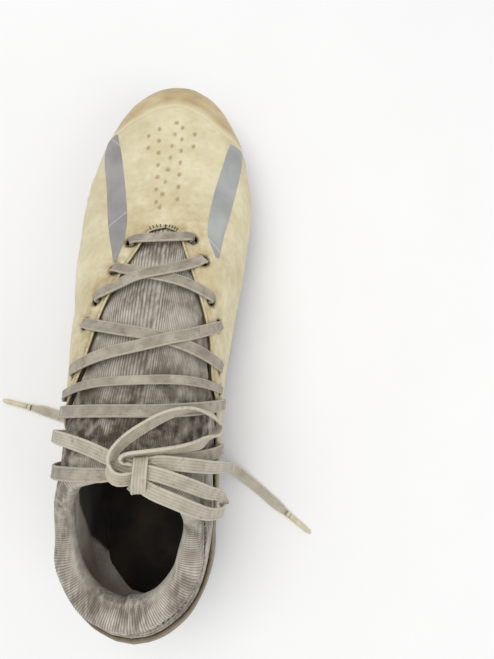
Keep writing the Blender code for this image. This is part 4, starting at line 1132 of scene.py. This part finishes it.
def plate_patch():
    """The moulded plate: edge turned up round the upper, ribs at the waist and a groove at the flex line."""
    y = np.concatenate([np.linspace(0, 12, 12)[:-1], np.arange(12, 268, 1.5), np.linspace(268, LENGTH, 14)])
    y = y[:, None]
    s = np.linspace(-1, 1, 61)[None]
    medial, lateral = (half_width(y, sign) * SOLE_REACH + PLATE_LIP * ends(y) for sign in (1.0, -1.0))
    lean = lean_at(y, FEATHER(y))
    x = RIDGE(y) + np.where(s > 0, medial, lateral) * s
    top = FEATHER(y) - PLATE_DROP
    waist = step(70, 95, y) * (1 - step(150, 168, y))
    ribs = 1.1 * waist * (np.abs(np.abs(s) - 0.42) < 0.09)
    spine = waist * bell(s, 0, 0.12)
    groove = 0.9 * bell(y, 196 + 3 * s**2, 1.3) + 0.5 * bell(y, 224, 1.3)
    chevrons = 0.35 * step(0.3, 0.6, np.sin((y + 16 * np.abs(s)) * math.tau / 9)) * (1 - waist)
    flare = sum(0.9 * np.exp(-((np.hypot(x - cx, y + lean - cy) / 9.5) ** 4)) for cx, cy in STUDS.values())
    rounded = 1.5 * np.abs(s) ** 14
    bottom = top - PLATE + 1.5 + rounded - ribs - spine + groove - chevrons - np.clip(flare, 0, 1.0) * 1.3
    points = np.stack(np.broadcast_arrays(x, y + lean, np.maximum(bottom, top - PLATE)), -1)
    rise = np.array([0.0, 0.9, 1.9, 2.7, 3.1, 3.0])
    away = np.array([0.0, 0.45, 0.65, 0.5, 0.1, -0.5])
    patch = Patch.grid(points).facing(FAR_ABOVE)
    for sign in (1, -1):
        v = np.clip(sign * (1 - (rise - 0.9) / 46.0), -1, 1)[None]
        wall = surface(y, v) + outward(y, v) * away[None, :, None]
        wall[:, 0] = points[:, -1 if sign > 0 else 0]
        wall[:, 1, 2] = np.minimum(wall[:, 1, 2], top[:, 0] + 0.3)
        patch = patch.joined(Patch.grid(wall).facing(SOLE_MIDDLE))
    return patch.welded(0.01)


def stud_patch(x, y):
    """A stud: concave below its flared base, with a worn rounded tip and two shallow rings."""
    under = min(FEATHER(y + d) for d in (-7.0, 0, 7.0)) - PLATE_DROP - PLATE - 0.4
    places = smooth((0, 3.4), (0.05, 4.5), (0.16, 4.95), (0.45, 5.1), (0.75, 5.6), (0.92, 6.5), (1, 7.0))
    share = np.concatenate([[0.0], np.linspace(0, 1, 34)])
    radius = places(share)
    radius -= 0.22 * bell(share, 0.62, 0.03) + 0.22 * bell(share, 0.80, 0.03)
    radius[0] = 0.01
    z = share * under + 0.35 * np.clip(1 - radius / 5, 0, 1) * (share < 0.05)
    angle = np.linspace(0, math.tau, 40, endpoint=False)
    reach = radius[:, None] * (1 - 0.035 * (1 - share[:, None]) * np.cos(3 * angle))
    points = np.broadcast_arrays(x + reach * np.cos(angle), y + reach * np.sin(angle),
                                 np.maximum(z, 0.02)[:, None])
    return Patch.grid(np.stack(points, -1), round_columns=True).facing((x, y, under / 2))


# Everything in its place


def put(patch, name, finish, body, replaced=()):
    """The patch as a piece on a body, or with its transform baked where there is none, in place of these nodes.
    """
    piece = patch.build(name, finish)
    if body:
        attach(piece, body)
    else:
        bend_with_toe(piece)
    if replaced:
        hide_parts(*replaced)
    return piece


def build_laces():
    """The laces. Gives the points of the lace that runs through the eyelets."""
    free_cloth = woven_lace("free_lace_cloth", (178, 169, 150), (208, 200, 182), 0.24)
    for side, points in (("lateral", LACE_END_LATERAL), ("medial", LACE_END_MEDIAL)):
        put(aglet_patch(points), "aglet_tip_" + side, aglet_film(), "rear_shoe",
                           ["aglet_" + side])
    for name, (points, tucks, hints) in FREE_LACES.items():
        side = name.rsplit("_", 1)[1]
        is_end = name.startswith("lace_end")
        patch, route = free_lace(points, tucks, hints, END_NARROWED if is_end else 1.0)
        piece = put(patch, "flat_" + name, free_cloth, "rear_shoe", [name])

    held_cloth = woven_lace("held_lace_cloth", (146, 136, 122), (190, 181, 164), 0.12)
    fine = smooth_route(held_stations(), 1.15)
    held = lace_patch(fine[:, :3], unit(fine[:, 3:6]), fine[:, 6])
    put(held, "held_lace", held_cloth, "rear_shoe", ["lace_through_eyelets"])
    put(knot_patch(), "bow_middle", free_cloth, "rear_shoe", ["bow_knot"])
    return fine[:, :3]


def build_upper(lace_points):
    blade = {"lateral": printed_blade("blade_lateral", (136, 133, 134), (164, 160, 158)),
             "medial": printed_blade("blade_medial", (150, 152, 152), (180, 182, 178))}
    binding = thread("binding", (196, 180, 138), (226, 214, 178))
    dark_thread = thread("dark_thread", (58, 46, 34), (92, 76, 58))
    knit = rib_knit()

    # The skin and what lies on it
    put(skin_patch(), "skin", coated_skin(), None,
        ["quarter_lateral", "quarter_medial", "heel_skin", "toe_vamp", "vamp_flex_panel"])
    for side in SIDE_SIGN:
        put(leaf_patch(side), "leaf_" + side, blade[side], None, ["leaf_front_" + side, "leaf_rear_" + side])
        put(flank_patch(side), "flank_film_" + side, blade[side], "rear_shoe", ["flank_band_" + side])
    put(toe_film_patch(), "toe_wear_film", toe_film(), "forefoot", ["toe_cap_film"])
    put(tube_patch(throat_edge(), 0.5), "throat_piping", binding, "rear_shoe")
    put(bar_tack(), "throat_bar_tack", dark_thread, "rear_shoe")

    # The knit sock, its collar and the seam between them
    put(sock_patch(lace_points[::3]), "knit_sock", knit, "rear_shoe", ["knit_tongue", "ankle_knit"])
    collar = put(collar_patch(), "collar_band", knit, "rear_shoe", ["collar_roll"])
    put(collar_seam(), "collar_overlock", dark_thread, "rear_shoe")

    # Inside
    put(lining_patch(), "foot_lining", lining_cloth(), "rear_shoe", ["heel_lining"])
    put(footbed_patch(9, 188, 6.5), "footbed_heel", footbed_foam(), "sockliner_heel", ["sockliner_rear"])


def build_sole():
    plate_plastic = moulded_plastic("plate_plastic", (26, 26, 29), (46, 46, 50), (112, 102, 86))
    put(plate_patch(), "sole_plate", plate_plastic, None, ["outsole_plate_rear", "outsole_plate_front"])
    stud_plastic = moulded_plastic("stud_plastic", (110, 118, 128), (142, 150, 158), (150, 138, 114))
    for name, (x, y) in STUDS.items():
        in_front = name.startswith(("toe", "middle", "side"))
        put(stud_patch(x, y), "worn_" + name, stud_plastic, "forefoot" if in_front else "rear_shoe", [name])


def dress_hidden_layers():
    """The CAD's own layers inside the upper keep their shapes and get materials."""
    board = hidden_cloth("board_fibre", (150, 130, 96), (184, 164, 126), 1.6)
    stiffener = hidden_cloth("stiffener_sheet", (186, 182, 170), (212, 208, 196), 0.9)
    tape = hidden_cloth("eyestay_tape", (120, 108, 80), (160, 146, 112), 0.8)
    # Near-black: partly the cloth's own colour, partly painted shade deep in the shoe
    inner = hidden_cloth("vamp_lining_cloth", (30, 25, 20), (60, 52, 42), 0.8)
    kept = {
        "insole_board_rear": board, "insole_board_front": board, "heel_counter": stiffener,
        "toe_puff": stiffener, "eyestay_lateral": tape, "eyestay_medial": tape, "vamp_lining": inner,
        "sockliner_front": inner,
    }
    for name, finish in kept.items():
        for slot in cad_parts[name].material_slots:
            slot.material = finish


def studio():
    """A pale floor, soft light from above, and the camera over the toe."""
    scene = bpy.context.scene
    scene.view_settings.view_transform = "Standard"
    mesh = bpy.data.meshes.new("floor")
    mesh.from_pydata([(-2, -2, 0), (2, -2, 0), (2, 2, 0), (-2, 2, 0)], [], [(0, 1, 2, 3)])
    mesh.materials.append(pale_floor())
    floor = bpy.data.objects.new("floor", mesh)
    scene.collection.objects.link(floor)

    world = bpy.data.worlds.new("soft_room")
    world.use_nodes = True
    background = world.node_tree.nodes["Background"].inputs
    background["Color"].default_value = (1, 1, 1, 1)
    background["Strength"].default_value = ROOM_LIGHT
    scene.world = world
    for name, (place, size, power) in LAMPS.items():
        lamp = bpy.data.lights.new(name, "AREA")
        lamp.energy, lamp.size = power, size
        made = bpy.data.objects.new(name, lamp)
        made.location = place
        made.rotation_mode = "QUATERNION"
        made.rotation_quaternion = Vector(place).to_track_quat("Z", "Y")
        scene.collection.objects.link(made)

    right = Vector((math.cos(CAMERA_TURN), math.sin(CAMERA_TURN), 0))
    forward = Vector((-math.sin(CAMERA_TURN), math.cos(CAMERA_TURN), 0))
    up = forward * math.cos(CAMERA_TILT) + Vector((0, 0, math.sin(CAMERA_TILT)))
    facing = Matrix((right, up, right.cross(up))).transposed().to_4x4()
    lens = bpy.data.cameras.new("camera")
    lens.lens = CAMERA_LENS
    lens.clip_start = 0.01
    camera = bpy.data.objects.new("camera", lens)
    camera.matrix_world = Matrix.Translation(CAMERA_AT) @ facing
    scene.collection.objects.link(camera)
    scene.camera = camera


build_upper(build_laces())
build_sole()
dress_hidden_layers()
studio()
bpy.context.view_layer.update()
